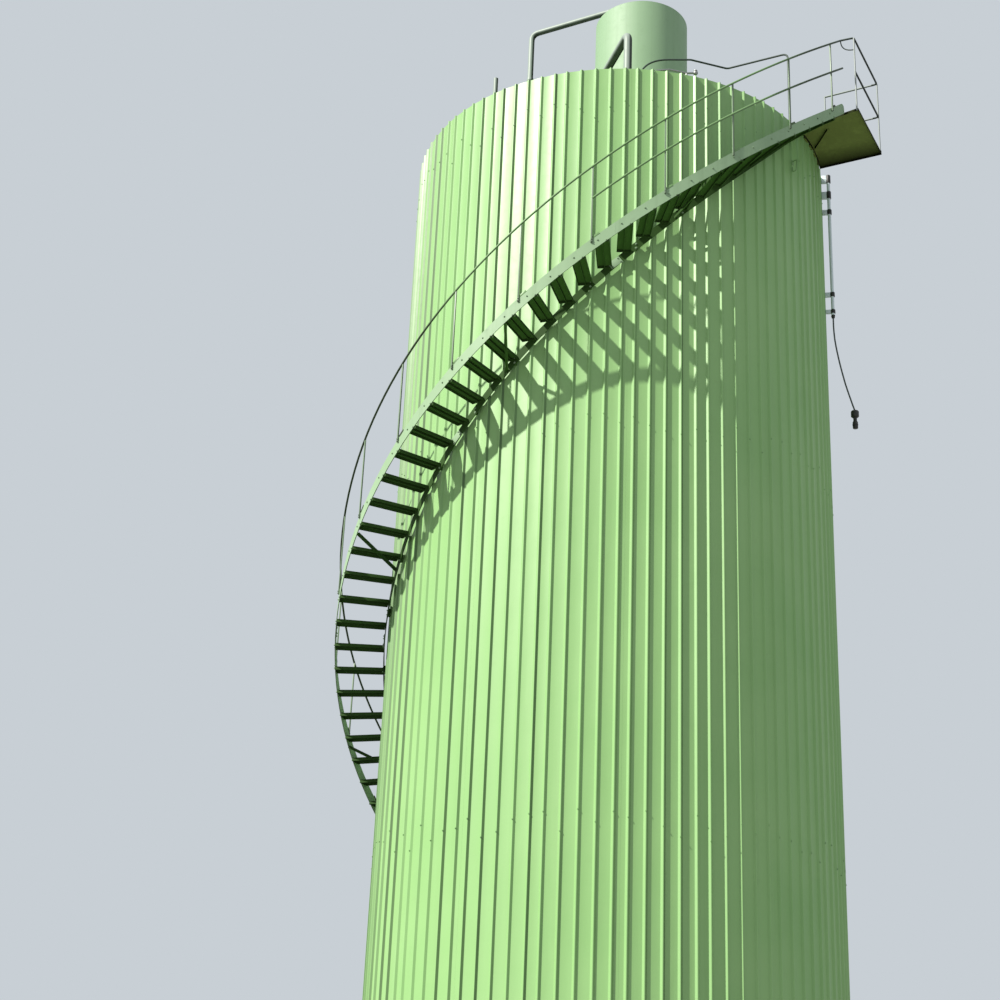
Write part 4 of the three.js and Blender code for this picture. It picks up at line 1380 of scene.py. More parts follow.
@dataclass
class RoofAndTurret:
    """The roof with its lap seams, and the turret on its curb."""

    finishes: Finishes
    turret_x: float = 0.311
    turret_radius: float = 0.712
    turret_top: float = 19.147
    turret_sheet: float = 0.008
    lid_gap: float = 0.0005
    lid_edge: float = 0.002
    turn_steps: int = 96
    curb_width: float = 0.080
    curb_inside: float = 0.050
    curb_rise: float = 0.090
    curb_edge: float = 0.004
    curb_sunk: float = 0.004
    curb_bolts: int = 28
    bolt_radius: float = 0.011
    bolt_offset: float = 0.045
    bead_radius: float = 0.006
    bead_sides: int = 6
    bead_offset: float = 0.002
    bead_rise: float = 0.004
    joint_azimuth: float = 128.0
    joint_radius: float = 0.005
    joint_offset: float = 0.001
    joint_ends: tuple[float, float] = (0.010, 0.020)
    seam_count: int = 12
    seam_azimuth: float = 14.0
    seam_size: tuple[float, float] = (0.050, 0.006)
    seam_ends: tuple[float, float] = (1.16, ROOF_RADIUS - 0.012)

    def turned(self, name: str, profile: Sequence[tuple[float, float]], node: str) -> None:
        """Makes a piece turned about the turret's axis.

        Args:
            name: the piece's name.
            profile: radius and height pairs.
            node: the node that it stands for.
        """
        piece = Piece(name)
        piece.lathe(profile, self.turn_steps, Vector((self.turret_x, 0, 0)))
        piece.finish(self.finishes.turret, [node])

    def turret(self, curb_top: float) -> None:
        """Makes the curb, the turret's wall and its lid.

        Args:
            curb_top: the height of the curb's upper face.
        """
        inside = self.turret_radius - self.curb_inside
        outer = self.turret_radius + self.curb_width
        low = roof_height(self.turret_x + outer) - self.curb_sunk
        self.turned("curb", [
            (inside, low),
            (outer, low),
            (outer, curb_top - self.curb_edge),
            (outer - self.curb_edge, curb_top),
            (inside, curb_top),
            (inside, low),
        ], "turret_curb")
        inner = self.turret_radius - self.turret_sheet
        under = self.turret_top - self.turret_sheet
        self.turned("turret_wall", [
            (inner, curb_top + SEAT),
            (self.turret_radius, curb_top + SEAT),
            (self.turret_radius, under - self.lid_gap),
            (inner, under - self.lid_gap),
            (inner, curb_top + SEAT),
        ], "turret_shell")
        self.turned("turret_lid", [
            (0.0, under),
            (self.turret_radius, under),
            (self.turret_radius, self.turret_top - self.lid_edge),
            (self.turret_radius - self.lid_edge, self.turret_top),
            (0.0, self.turret_top),
        ], "turret_cap")

    def fixings(self, curb_top: float) -> None:
        """Makes the bead at the turret's foot, the curb's bolts and the joint down the turret's wall.

        Args:
            curb_top: the height of the curb's upper face.
        """
        centre = Vector((self.turret_x, 0, 0))
        trim = Piece("turret_fixings")
        line, rise = self.turret_radius + self.bead_offset, curb_top + self.bead_rise
        turns = [i * 360 / self.turn_steps for i in range(self.turn_steps + 1)]
        bead = [centre + polar(line, turn, rise) for turn in turns]
        trim.sweep(bead, self.bead_radius, self.bead_sides)
        line = self.turret_radius + self.bolt_offset
        bolts = [polar(line, i * 360 / self.curb_bolts, curb_top) for i in range(self.curb_bolts)]
        trim.add_each(bolt(self.bolt_radius), Matrix.Translation(centre), bolts)
        line = self.turret_radius + self.joint_offset
        ends = (curb_top + self.joint_ends[0], self.turret_top - self.joint_ends[1])
        joint = [centre + polar(line, self.joint_azimuth, height) for height in ends]
        trim.sweep(joint, self.joint_radius, self.bead_sides)
        trim.finish(self.finishes.turret)

    def seams(self) -> None:
        """Makes the lap seams of the roof."""
        slope = math.atan(ROOF_SLOPE)
        start, end = self.seam_ends
        middle = (start + end) / 2
        strip = block(((end - start) / math.cos(slope), *self.seam_size))
        roof = Piece("roof_seams")
        for i in range(self.seam_count):
            azimuth = self.seam_azimuth + i * 360 / self.seam_count
            lean = Matrix.Rotation(slope, 4, "Y")
            roof.add(strip, stand(middle, azimuth, roof_height(middle)) @ lean)
        roof.finish(self.finishes.roof)

    def build(self) -> None:
        """Makes the turret, its fixings and the roof's seams."""
        curb_top = roof_height(0) + self.curb_rise
        self.turret(curb_top)
        self.fixings(curb_top)
        self.seams()


@dataclass
class RoofPipes:
    """The vent over the turret, the gooseneck, the stub, the small pipe at the rim and the guard rail."""

    finishes: Finishes
    pipe_sides: int = 24
    flange_radius: float = 0.100
    flange_sides: int = 32
    flange_thickness: float = 0.018
    flange_sunk: float = 0.001
    flange_bolts: int = 6
    bolt_circle: float = 0.78
    bolt_share: float = 0.1
    bend: float = 0.130
    bend_steps: int = 10
    vent_radius: float = 0.045
    vent_line: float = 19.306
    vent_on_lid: tuple[float, float, float] = (-0.060, -0.300, RoofAndTurret.turret_top + SEAT)
    vent_on_roof: tuple[float, float] = (-1.428, 0.318)
    collar_drops: tuple[float, ...] = (0.9, 1.9)
    collar_radius: float = 0.051
    collar_height: float = 0.050
    gooseneck_radius: float = 0.056
    gooseneck_line: float = 16.855
    gooseneck_ends: tuple[tuple[float, float], ...] = ((0.090, -2.850), (-0.270, -1.850))
    stub_line: float = 2.840
    stub_azimuth: float = -38.0
    stub_radius: float = 0.032
    stub_wall: float = 0.004
    stub_floor: float = 0.040
    stub_top: float = 16.560
    guard_height: float = 17.412
    guard_plan: tuple[tuple[float, float], ...] = (
        (2.386, -1.694),
        (1.547, -1.341),
        (1.006, -1.548),
        (0.250, -1.550),
    )
    guard_sides: int = 16
    guard_bend: float = 0.090
    guard_end_bend: float = 0.440
    guard_end_steps: int = 12
    guard_end_run: float = 0.460
    rim_line: float = 2.910
    rim_spots: tuple[tuple[float, float], ...] = (
        (9.2, 16.226),
        (13.0, 16.272),
        (17.8, 16.262),
        (20.4, 16.298),
    )
    rim_radius: float = 0.014
    ball_radius: float = 0.034
    ball_rows: int = 10
    ball_sides: int = 20
    cap_radius: float = 0.026
    cap_height: float = 0.010
    cap_sunk: float = 0.005

    def flange(self, piece: Piece, place: Vector, radius: float) -> None:
        """Adds a flange with its bolts.

        Args:
            piece: what it is added to.
            place: the middle of its underside.
            radius: its radius.
        """
        at = Matrix.Translation(place)
        piece.add(disc(radius, self.flange_thickness, self.flange_sides, SOFT_EDGE), at)
        turns = [(i + 0.5) * 360 / self.flange_bolts for i in range(self.flange_bolts)]
        spots = [polar(self.bolt_circle * radius, turn, self.flange_thickness) for turn in turns]
        piece.add_each(bolt(self.bolt_share * radius), at, spots)

    def roof_flange(self, piece: Piece, x: float, y: float, radius: float) -> None:
        """Adds a flange that lies on the roof."""
        self.flange(piece, on_roof(x, y) - Vector((0, 0, self.flange_sunk)), radius)

    def arch(self, piece: Piece, start: Vector, end: Vector, line: float, radius: float) -> None:
        """Adds a pipe that rises, runs level and comes down.

        Args:
            piece: what it is added to.
            start: where it starts.
            end: where it ends.
            line: the height of its level run.
            radius: its radius.
        """
        corners = [start, Vector((start.x, start.y, line)), Vector((end.x, end.y, line)), end]
        piece.sweep(rounded(corners, self.bend, self.bend_steps), radius, self.pipe_sides)

    def vent(self) -> None:
        """Makes the vent pipe from the turret's lid down to the roof."""
        piece = Piece("vent_pipe")
        start = Vector(self.vent_on_lid)
        x, y = self.vent_on_roof
        self.arch(piece, start, on_roof(x, y), self.vent_line, self.vent_radius)
        self.flange(piece, start, self.flange_radius)
        self.roof_flange(piece, x, y, self.flange_radius)
        collar = disc(self.collar_radius, self.collar_height)
        spots = [(x, y, self.vent_line - drop) for drop in self.collar_drops]
        piece.add_each(collar, Matrix(), spots)
        piece.finish(self.finishes.pipe, ["turret_vent_pipe"])

    def gooseneck(self) -> None:
        """Makes the pipe that comes out of the roof and turns down behind the rim."""
        front, back = self.gooseneck_ends
        piece = Piece("gooseneck")
        self.arch(piece, on_roof(*front), on_roof(*back), self.gooseneck_line, self.gooseneck_radius)
        self.roof_flange(piece, *back, self.flange_radius)
        piece.finish(self.finishes.pipe, ["gooseneck_pipe"])

    def stub(self) -> None:
        """Makes the open stub by the rim."""
        foot = polar(self.stub_line, self.stub_azimuth, 0)
        low = roof_height(self.stub_line)
        bore = self.stub_radius - self.stub_wall
        piece = Piece("stub")
        piece.lathe([
            (bore, low + self.stub_floor),
            (bore, self.stub_top),
            (self.stub_radius, self.stub_top),
            (self.stub_radius, low),
            (0.0, low),
            (0.0, low + self.stub_floor),
            (bore, low + self.stub_floor),
        ], self.pipe_sides, foot)
        self.roof_flange(piece, foot.x, foot.y, 2 * self.stub_radius)
        piece.finish(self.finishes.pipe, ["stub_pipe"])

    def guard_rail(self) -> None:
        """Makes the guard rail on the roof."""
        rim, turn, knee, end = (Vector((*spot, self.guard_height)) for spot in self.guard_plan)
        middle = end + Vector((self.guard_end_run, 0, 0))
        first = rounded([on_roof(rim.x, rim.y), rim, turn, knee, middle], self.guard_bend)
        fall = [middle, end, on_roof(end.x, end.y)]
        last = rounded(fall, self.guard_end_bend, self.guard_end_steps)
        piece = Piece("guard_rail")
        piece.sweep(first + last[1:], RAIL_RADIUS, self.guard_sides)
        self.roof_flange(piece, end.x, end.y, self.flange_radius / 2)
        # The dark rail paint is painted shade.
        piece.finish(self.finishes.shaded_rail, ["roof_guard_rail"])

    def rim_pipe(self) -> None:
        """Makes the small pipe inside the rim, with its valve."""
        points = [polar(self.rim_line, azimuth, height) for azimuth, height in self.rim_spots]
        piece = Piece("rim_line")
        piece.sweep(points, self.rim_radius)
        for point in (points[0], points[2]):
            foot = Vector((point.x, point.y, roof_height(self.rim_line)))
            piece.sweep([foot, point], self.rim_radius)
        angles = [math.pi * i / self.ball_rows for i in range(self.ball_rows + 1)]
        ball = [(self.ball_radius * math.sin(a), -self.ball_radius * math.cos(a)) for a in angles]
        piece.lathe(ball, self.ball_sides, points[-1])
        cap = Matrix.Translation(points[-1]) @ lift(self.ball_radius - self.cap_sunk)
        piece.add(disc(self.cap_radius, self.cap_height, self.ball_sides), cap)
        piece.finish(self.finishes.steel, ["rim_pipe"])

    def build(self) -> None:
        """Makes all of them."""
        self.vent()
        self.gooseneck()
        self.stub()
        self.guard_rail()
        self.rim_pipe()


@dataclass
class Stair:
    """The spiral stair: stringers, folded treads, braces, cleats, bolts and its rails."""

    finishes: Finishes
    last_treads: tuple[int, ...] = (10, 19, 28, 37, 46, 55, 67)
    brace_treads: tuple[int, ...] = (6, 15, 24, 33, 42, 51, 60)
    flight_gap: float = 0.012
    start_before: float = 1.0
    tread_depth: float = 0.188
    tread_lip: float = 0.045
    tread_sheet: float = 0.004
    tread_setback: float = 0.25
    tread_bolt_radius: float = 0.009
    tread_bolt_drop: float = 0.022
    tread_bolt_shift: float = 0.055
    inner_below: float = 0.150
    inner_above: float = -0.015
    outer_below: float = 0.063
    outer_above: float = 0.117
    end_round: float = 0.120
    end_steps: int = 8
    end_reach: float = 1.2 * STRINGER_THICKNESS
    brace_width: float = 0.034
    brace_thickness: float = 0.006
    brace_lap: float = 0.005
    brace_gap: float = 0.002
    brace_foot_rise: float = 0.040
    brace_treads_back: tuple[float, float] = (0.2, 1.3)
    cleat_width: float = 0.036
    cleat_height: float = 0.110
    cleat_bolt_radius: float = 0.010
    cleat_bolt_rise: float = 0.030
    foot_plate: tuple[float, float, float] = (0.060, 0.160, 0.012)
    foot_lift: float = 0.0001
    foot_tread: float = 0.2
    foot_bolt_radius: float = 0.012
    foot_bolt_spot: tuple[float, float] = (0.008, 0.055)
    splice_thickness: float = 0.008
    splice_length: float = 0.180
    splice_heights: tuple[float, float] = (0.10, 0.12)
    splice_bolt_shift: float = 0.065
    splice_bolt_share: float = 0.3
    post_on_stringer: float = 0.060
    post_first: float = -246.0
    post_step: float = 14.17
    post_bolt_radius: float = 0.008
    post_bolt_rises: tuple[float, float] = (0.016, 0.044)
    mid_rail_post: int = 17
    mid_rail_end: float = STAIR_END_AZIMUTH - 0.5
    clip_length: float = 0.110
    clip_height: float = 0.030
    clip_thickness: float = STRINGER_THICKNESS + 0.004
    clip_rise: float = 0.009

    def stringer(
        self,
        piece: Piece,
        radius: float,
        rows: tuple[float, float],
        start: float,
        end: float,
    ) -> None:
        """Adds a stringer.

        Args:
            piece: what it is added to.
            radius: its inner face.
            rows: the heights of its lower and upper edge over the tread line.
            start: the azimuth where it starts.
            end: the azimuth where it ends.
        """
        far = radius + STRINGER_THICKNESS
        low, high = rows
        piece.helix([(radius, low), (far, low), (far, high), (radius, high)], start, end)

    def round_end(self, piece: Piece, end: float) -> None:
        """Rounds the upper corner of the outer stringer's end at the landing.

        Args:
            piece: the stringer.
            end: the azimuth of its end.
        """
        tip = on_stair(OUTER_FACE_RADIUS, end, self.outer_above)
        found = [vertex for vertex in piece.mesh.verts if (vertex.co - tip).length < self.end_reach]
        corner = [edge for edge in piece.mesh.edges if all(vertex in found for vertex in edge.verts)]
        round_off(piece.mesh, corner, self.end_round, self.end_steps)

    def treads(self, piece: Piece, fixings: Piece, numbers: range) -> None:
        """Adds treads, with the bolts that hold them to the outer stringer.

        Args:
            piece: what the treads are added to.
            fixings: what the bolts are added to.
            numbers: the treads' numbers from the ground.
        """
        length = OUTER_STRINGER_RADIUS - INNER_FACE_RADIUS
        pan = tread_pan(length, self.tread_depth, self.tread_lip, self.tread_sheet)
        head = bolt(self.tread_bolt_radius)
        spots = [(0, -self.tread_bolt_shift, 0), (0, self.tread_bolt_shift, 0)]
        for index in numbers:
            azimuth = tread_azimuth(index) - self.tread_setback
            piece.add(pan, stand(INNER_FACE_RADIUS + length / 2, azimuth, index * RISE))
            place = stand(OUTER_FACE_RADIUS, azimuth, index * RISE - self.tread_bolt_drop)
            fixings.add_each(head, place, spots, OUTWARD)

    def brace(self, piece: Piece, index: int) -> None:
        """Adds the brace under a tread.

        Args:
            piece: what it is added to.
            index: the tread's number from the ground.
        """
        top_turn, foot_turn = (tread_azimuth(index - back) for back in self.brace_treads_back)
        top_rise = self.brace_lap - self.outer_below - self.brace_width / 2
        top = on_stair(OUTER_STRINGER_RADIUS - self.brace_gap, top_turn, top_rise)
        foot = on_stair(INNER_FACE_RADIUS, foot_turn, self.brace_foot_rise - self.inner_below)
        bar = angle_bar((top - foot).length, self.brace_width, self.brace_thickness)
        piece.add(bar, between(foot, top))

    def cleats(self, piece: Piece, fixings: Piece, azimuths: Iterable[float]) -> None:
        """Adds the cleats between the inner stringer and the ribs, with their bolts.

        Args:
            piece: what the cleats are added to.
            fixings: what the bolts are added to.
            azimuths: where the cleats are.
        """
        reach = INNER_STRINGER_RADIUS - CREST_RADIUS
        cleat = block((reach, self.cleat_width, self.cleat_height), SOFT_EDGE)
        head = bolt(self.cleat_bolt_radius)
        spots = [(0, 0, -self.cleat_bolt_rise), (0, 0, self.cleat_bolt_rise)]
        for azimuth in azimuths:
            middle = climb(azimuth) - (self.inner_below - self.inner_above) / 2
            piece.add(cleat, stand(CREST_RADIUS + reach / 2 + SEAT, azimuth, middle))
            fixings.add_each(head, stand(INNER_FACE_RADIUS, azimuth, middle), spots, OUTWARD)

    def feet(self, piece: Piece, fixings: Piece) -> None:
        """Adds the foot plates at the ground, with their bolts.

        Args:
            piece: what the plates are added to.
            fixings: what the bolts are added to.
        """
        width, _, thickness = self.foot_plate
        plate = block(self.foot_plate)
        head = bolt(self.foot_bolt_radius)
        along, shift = self.foot_bolt_spot
        spots = [(along, -shift, thickness / 2), (along, shift, thickness / 2)]
        for radius in (INNER_STRINGER_RADIUS, OUTER_STRINGER_RADIUS):
            azimuth = tread_azimuth(self.foot_tread)
            place = stand(radius + width / 2, azimuth, thickness / 2 + self.foot_lift)
            piece.add(plate, place)
            fixings.add_each(head, place, spots)

    def splice(self, piece: Piece, fixings: Piece, azimuth: float) -> None:
        """Adds the splice plates where two flights meet, with their bolts.

        Args:
            piece: what the plates are added to.
            fixings: what the bolts are added to.
            azimuth: where the flights meet.
        """
        half = self.splice_thickness / 2
        shift = self.splice_bolt_shift
        head = bolt(self.tread_bolt_radius)
        inner_rise = -(self.inner_below - self.inner_above) / 2
        outer_rise = (self.outer_above - self.outer_below) / 2
        rows = (
            (INNER_FACE_RADIUS, 1, inner_rise, self.splice_heights[0]),
            (OUTER_STRINGER_RADIUS, -1, outer_rise, self.splice_heights[1]),
        )
        for radius, side, rise, height in rows:
            place = stand(radius + side * half, azimuth, climb(azimuth) + rise)
            place = place @ climb_tilt(OUTER_STRINGER_RADIUS)
            piece.add(block((self.splice_thickness, self.splice_length, height)), place)
            levels = (-self.splice_bolt_share * height, self.splice_bolt_share * height)
            corners = [(along, up) for along in (-shift, shift) for up in levels]
            spots = [(side * half, *corner) for corner in corners]
            fixings.add_each(head, place, spots, Matrix.Rotation(side * math.pi / 2, 4, "Y"))

    def flight(self, number: int, numbers: range, start: float, end: float) -> None:
        """Makes one flight.

        Args:
            number: its number from the ground.
            numbers: its treads' numbers from the ground.
            start: the azimuth where it starts.
            end: the azimuth where it ends.
        """
        stringer = Piece(f"flight_{number}_stringer")
        treads = Piece(f"flight_{number}_treads")
        fixings = Piece(f"flight_{number}_bolts")
        outer_rows = (-self.outer_below, self.outer_above)
        inner_rows = (-self.inner_below, self.inner_above)
        self.stringer(stringer, OUTER_STRINGER_RADIUS, outer_rows, start, end)
        # The inner stringer goes with the treads, whose dark paint is painted shade on it.
        self.stringer(treads, INNER_STRINGER_RADIUS, inner_rows, start, end)
        if number == len(self.last_treads):
            self.round_end(stringer, end)
        self.treads(treads, fixings, numbers)
        brace = self.brace_treads[number - 1]
        self.brace(treads, brace)
        cleat_treads = (numbers[1], brace - 0.5, numbers[-2])
        self.cleats(treads, fixings, [nearest_rib(tread_azimuth(index)) for index in cleat_treads])
        if number == 1:
            self.feet(stringer, fixings)
            stringer.cut_off_foot()
            treads.cut_off_foot()
        else:
            self.splice(stringer, fixings, start)
        stringer.finish(self.finishes.stair)
        treads.finish(self.finishes.tread, [f"stair_flight_{number}"])
        fixings.finish(self.finishes.stair)

    def rail_length(self, piece: Piece, start: float, end: float, rise: float) -> None:
        """Adds a length of round rail that climbs with the stair.

        Args:
            piece: what it is added to.
            start: the azimuth where it starts.
            end: the azimuth where it ends.
            rise: its height over the tread line.
        """
        steps = climb_steps(start, end)
        turns = [start + (end - start) * i / steps for i in range(steps + 1)]
        piece.sweep([on_stair(RAIL_LINE_RADIUS, turn, rise) for turn in turns], RAIL_RADIUS, RAIL_SIDES)

    def post(self, rail: Piece, posts: Piece, azimuth: float) -> None:
        """Adds a post with its bolts, and the clip beside its foot.

        Args:
            rail: what the clip is added to.
            posts: what the post and the bolts are added to.
            azimuth: where it stands.
        """
        low = max(climb(azimuth) + self.outer_above - self.post_on_stringer, 0.0)
        high = climb(azimuth) + TOP_RAIL_RISE
        face = OUTER_FACE_RADIUS + SEAT
        bar = block((POST_DEPTH, POST_BREADTH, high - low), SOFT_EDGE)
        posts.add(bar, stand(face + POST_DEPTH / 2, azimuth, (low + high) / 2))
        spots = [(0, 0, rise) for rise in self.post_bolt_rises]
        place = stand(face + POST_DEPTH, azimuth, low)
        posts.add_each(bolt(self.post_bolt_radius), place, spots, OUTWARD)
        clip = block((self.clip_thickness, self.clip_length, self.clip_height), SOFT_EDGE)
        beside = azimuth + math.degrees(0.5 * self.clip_length / RAIL_LINE_RADIUS)
        top = climb(beside) + self.outer_above + self.clip_rise
        middle = OUTER_STRINGER_RADIUS + STRINGER_THICKNESS / 2
        rail.add(clip, stand(middle, beside, top) @ climb_tilt(RAIL_LINE_RADIUS))

    def rails(self) -> None:
        """Makes the rails in four lengths, with their posts."""
        count = math.ceil((RAIL_SPLITS[-1] - self.post_first) / self.post_step)
        azimuths = [self.post_first + i * self.post_step for i in range(count)]
        for number, (start, end) in enumerate(zip(RAIL_SPLITS, RAIL_SPLITS[1:]), 1):
            rail = Piece(f"hand_rail_{number}")
            posts = Piece(f"rail_posts_{number}")
            self.rail_length(rail, start, end, TOP_RAIL_RISE)
            if end == RAIL_SPLITS[-1]:
                self.rail_length(rail, azimuths[self.mid_rail_post], self.mid_rail_end, MID_RAIL_RISE)
            for azimuth in azimuths:
                if start < azimuth < end:
                    self.post(rail, posts, azimuth)
            rail.finish(self.finishes.rail, [f"stair_rail_{number}"])
            posts.finish(self.finishes.post)

    def build(self) -> None:
        """Makes the flights and the rails."""
        first, start = 1, tread_azimuth(0) - self.start_before
        for number, last in enumerate(self.last_treads, 1):
            is_top = number == len(self.last_treads)
            end = STAIR_END_AZIMUTH if is_top else tread_azimuth(last + 0.5)
            self.flight(number, range(first, last + 1), start, end - self.flight_gap)
            first, start = last + 1, end
        self.rails()


@dataclass
class Landing:
    """The landing: its folded deck and the rail round it."""

    finishes: Finishes
    axis: float = 66.0
    reach: float = 3.860
    half_width: float = 0.573
    depth: float = 0.040
    plate: float = 0.006
    front: float = 57.2
    wall_gap: float = 0.0006
    wall_steps: int = 16
    stiffener_width: float = 0.040
    stiffener_thickness: float = 0.005
    stiffener_ends: tuple[tuple[float, float], ...] = ((3.040, 67.6), (3.350, 61.0))
    closer_width: float = 0.150
    closer_count: int = 5
    closer_gap: float = 0.001
    mid_rail: float = 0.600
    rail_bend: float = 0.040
    rail_end: float = 0.060
    stay_drop: float = 0.200
    stay_radius: float = 0.008
    stay_sides: int = 10
    stay_steps: int = 12
    post_radius: float = 0.011
    foot_radius: float = 0.034
    foot_sides: int = 20
    foot_thickness: float = 0.006
    foot_shift: float = 0.018

    def point(self, reach: float, across: float) -> Vector:
        """Returns the plan point at a reach along the landing's axis and an offset across it."""
        return polar(reach, self.axis, 0) + polar(across, self.axis + 90, 0)

    def front_corner(self, reach: float, azimuth: float) -> Vector:
        """Returns the plan point where an azimuth meets a line at a reach along the landing's axis."""
        return polar(reach / math.cos(math.radians(self.axis - azimuth)), azimuth, 0)

    def outline(self) -> list[Vector]:
        """Works out the deck's outline.

        Returns:
            Its points in plan.
        """
        wall = CREST_RADIUS + self.wall_gap
        back = self.axis + math.degrees(math.asin(self.half_width / wall))
        turns = [back + (self.front - back) * i / self.wall_steps for i in range(self.wall_steps + 1)]
        corners = [self.front_corner(self.reach, self.front), self.point(self.reach, self.half_width)]
        return corners + [polar(wall, turn, 0) for turn in turns]

    def deck(self) -> None:
        """Makes the deck, hollow below, with its stiffener and closers."""
        piece = Piece("landing_plate")
        floor = piece.prism(self.outline(), LANDING_HEIGHT - self.depth, LANDING_HEIGHT)
        bmesh.ops.inset_region(piece.mesh, faces=[floor], thickness=self.plate, use_even_offset=True)
        bmesh.ops.translate(piece.mesh, vec=Vector((0, 0, self.depth - self.plate)), verts=floor.verts)
        height = LANDING_HEIGHT - self.plate - self.stiffener_width / 2
        start, end = (polar(radius, azimuth, height) for radius, azimuth in self.stiffener_ends)
        bar = angle_bar((end - start).length, self.stiffener_width, self.stiffener_thickness)
        piece.add(bar, between(start, end))
        self.closers(piece)
        piece.finish(self.finishes.deck, ["landing_deck"])

    def closers(self, piece: Piece) -> None:
        """Adds the closers that fill the hollows of the wall at the deck's edge.

        Args:
            piece: what they are added to.
        """
        closer = block((RIB_HEIGHT - 2 * self.closer_gap, self.closer_width, self.depth), FINE_EDGE)
        middle = VALLEY_RADIUS + (RIB_HEIGHT + self.closer_gap) / 2
        first = nearest_rib(self.front)
        for i in range(self.closer_count):
            azimuth = first + (i + 0.5) * RIB_STEP
            piece.add(closer, stand(middle, azimuth, LANDING_HEIGHT - self.depth / 2))

    def rail_corners(self) -> list[Vector]:
        """Works out the line of the rail.

        Returns:
            The front corner, the far corner and the end at the wall, in plan.
        """
        half = POST_WIDTH / 2
        front = self.front - math.degrees((half + SEAT) / self.reach)
        reach, across = self.reach - half, self.half_width - half
        end = self.point(CREST_RADIUS + self.rail_end, across)
        return [self.front_corner(reach, front), self.point(reach, across), end]

    def rail(self) -> None:
        """Makes the rails round the deck, the bent stay under the top one, and the posts."""
        top = LANDING_HEIGHT + TOP_RAIL_RISE
        corners = self.rail_corners()
        upper = [Vector((spot.x, spot.y, top)) for spot in corners]
        middle = [Vector((spot.x, spot.y, LANDING_HEIGHT + self.mid_rail)) for spot in corners]
        start = on_stair(RAIL_LINE_RADIUS, RAIL_SPLITS[-1], TOP_RAIL_RISE)
        turn = polar(RAIL_LINE_RADIUS, LANDING_AZIMUTH, top)
        inward = upper[2] - upper[1]
        past_bend = 2 * self.rail_bend * inward.normalized()
        rail = Piece("landing_hand_rail")
        posts = Piece("landing_posts")
        for line in ([start, turn, *upper[:2]], middle[:2]):
            last = line[-1]
            rail.sweep(rounded([*line, last + past_bend], self.rail_bend), RAIL_RADIUS, RAIL_SIDES)
            # These lengths back to the wall go with the posts, in the pale paint that is painted sunlight.
            posts.sweep([last + past_bend, last + inward], RAIL_RADIUS, RAIL_SIDES)
        drop = Vector((0, 0, -self.stay_drop))
        stay = curve(turn, turn + drop, upper[0] + drop, self.stay_steps)
        rail.sweep(stay, self.stay_radius, self.stay_sides)
        # The rails take the dark paint that is painted shade.
        rail.finish(self.finishes.shaded_rail, ["landing_rail"])
        self.posts(posts, corners, upper)
        posts.finish(self.finishes.sunlit_landing_post)

    def posts(self, piece: Piece, corners: list[Vector], tops: list[Vector]) -> None:
        """Adds the posts. The first stands on the deck's edge, and the others on foot plates.

        Args:
            piece: what they are added to.
            corners: their places in plan.
            tops: their upper ends.
        """
        foot = disc(self.foot_radius, self.foot_thickness, self.foot_sides, FINE_EDGE)
        middle = self.point(0.5 * (CREST_RADIUS + self.reach - POST_WIDTH / 2), 0)
        for corner, top in zip(corners, tops):
            is_first = corner is corners[0]
            low = LANDING_HEIGHT - self.depth if is_first else LANDING_HEIGHT
            piece.sweep([Vector((corner.x, corner.y, low)), top], self.post_radius, RAIL_SIDES)
            if not is_first:
                spot = corner + (middle - corner).normalized() * self.foot_shift
                piece.add(foot, Matrix.Translation((spot.x, spot.y, LANDING_HEIGHT + SEAT)))

    def build(self) -> None:
        """Makes the deck and the rail."""
        self.deck()
        self.rail()


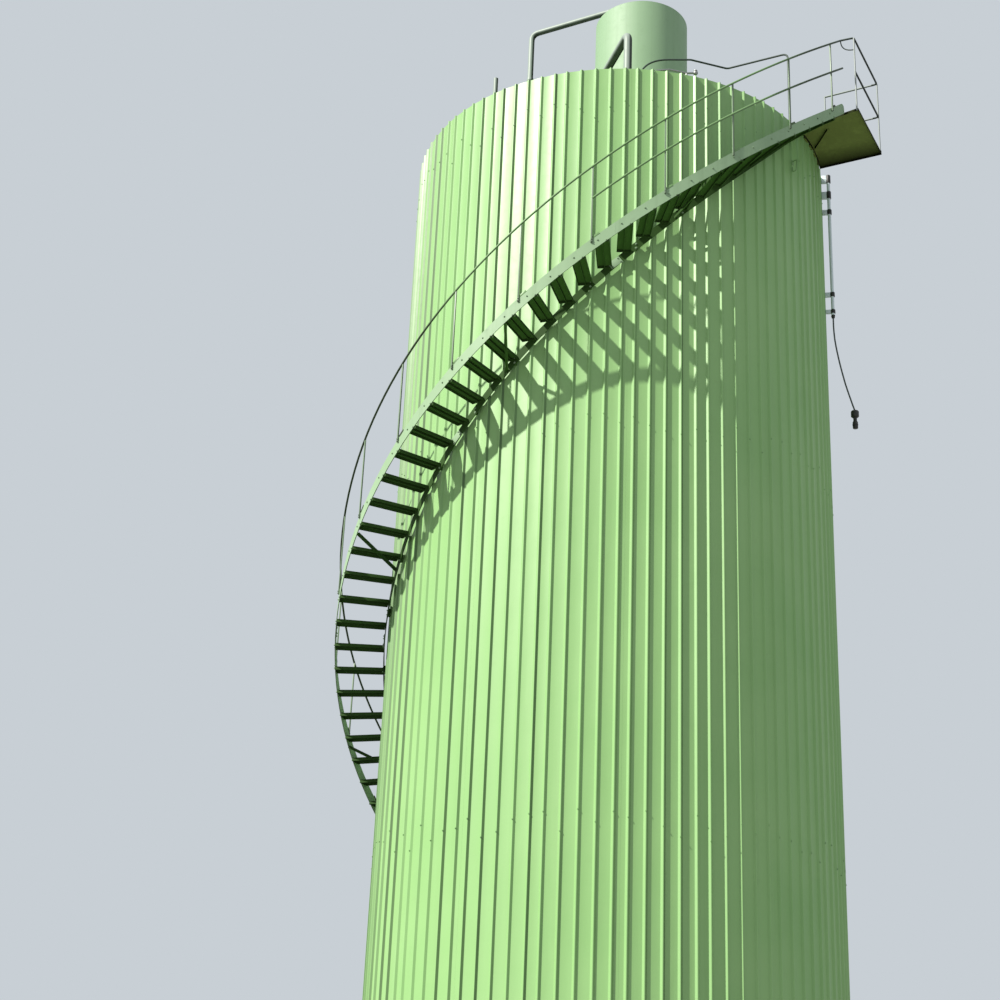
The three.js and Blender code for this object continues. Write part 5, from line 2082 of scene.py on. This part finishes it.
@dataclass
class Conduit:
    """The conduit down the wall, with its stand-offs, collars and gland."""

    finishes: Finishes
    radius: float = 0.024
    sides: int = 20
    top: float = 16.125
    bend: float = 0.060
    bend_steps: int = 8
    standoffs: tuple[tuple[float, float], ...] = (
        (16.125, 0.130),
        (15.850, 0.120),
        (15.560, 0.080),
        (14.185, 0.070),
        (13.910, 0.060),
    )
    standoff_width: float = 0.034
    collar_radius: float = 0.035
    collar_gap: float = 0.001
    collar_edge: float = 0.004
    nut_radius: float = 0.030
    nut_sides: int = 6
    nut_height: float = 0.022
    nut_rise: float = 0.018
    sleeve_radius: float = 0.024

    def build(self) -> None:
        """Makes the conduit, its stand-offs and its collars."""
        wall = CREST_RADIUS + SEAT
        reach = CONDUIT_LINE - wall
        line = [(wall, self.top), (CONDUIT_LINE, self.top), (CONDUIT_LINE, CONDUIT_FOOT)]
        route = [polar(radius, CONDUIT_AZIMUTH, height) for radius, height in line]
        piece = Piece("conduit")
        piece.sweep(rounded(route, self.bend, self.bend_steps), self.radius, self.sides)
        collars = Piece("conduit_collars")
        for middle, height in self.standoffs:
            holder = block((reach, self.standoff_width, height), SOFT_EDGE)
            piece.add(holder, stand(wall + reach / 2, CONDUIT_AZIMUTH, middle))
            length = height - 2 * self.collar_gap
            collar = disc(self.collar_radius, length, self.sides, self.collar_edge)
            low = middle - height / 2 + self.collar_gap
            collars.add(collar, Matrix.Translation(polar(CONDUIT_LINE, CONDUIT_AZIMUTH, low)))
        foot = Matrix.Translation(polar(CONDUIT_LINE, CONDUIT_AZIMUTH, CONDUIT_FOOT - GLAND_LENGTH))
        nut = disc(self.nut_radius, self.nut_height, self.nut_sides, EDGE)
        collars.add(nut, foot @ lift(self.nut_rise))
        collars.add(disc(self.sleeve_radius, GLAND_LENGTH, self.sides), foot)
        piece.finish(self.finishes.conduit, ["wall_conduit"])
        collars.finish(self.finishes.fitting)


def dress_nodes(finishes: Finishes) -> None:
    """Gives the nodes that keep their own shape their materials.

    Args:
        finishes: the materials.
    """
    looks = {
        "bottom_plate": finishes.steel,
        "inner_shell": finishes.steel,
        "roof_plate": finishes.roof,
        "girt_ring": finishes.zinc,
    }
    for name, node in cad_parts.items():
        for start, material in looks.items():
            if name.startswith(start):
                node.data.materials.clear()
                node.data.materials.append(material)


def main() -> None:
    """Builds the scene in order."""
    logging.basicConfig(level=logging.INFO, format="%(name)s: %(message)s")
    ViewCamera().build()
    finishes = Finishes()
    HangingCable(finishes).build()
    Studio().build()
    dress_nodes(finishes)
    for assembly in (
        Cladding(finishes),
        RoofAndTurret(finishes),
        RoofPipes(finishes),
        Stair(finishes),
        Landing(finishes),
        Conduit(finishes),
    ):
        assembly.build()
        LOG.info("%s is built", type(assembly).__name__)


if __name__ == "__main__":
    main()
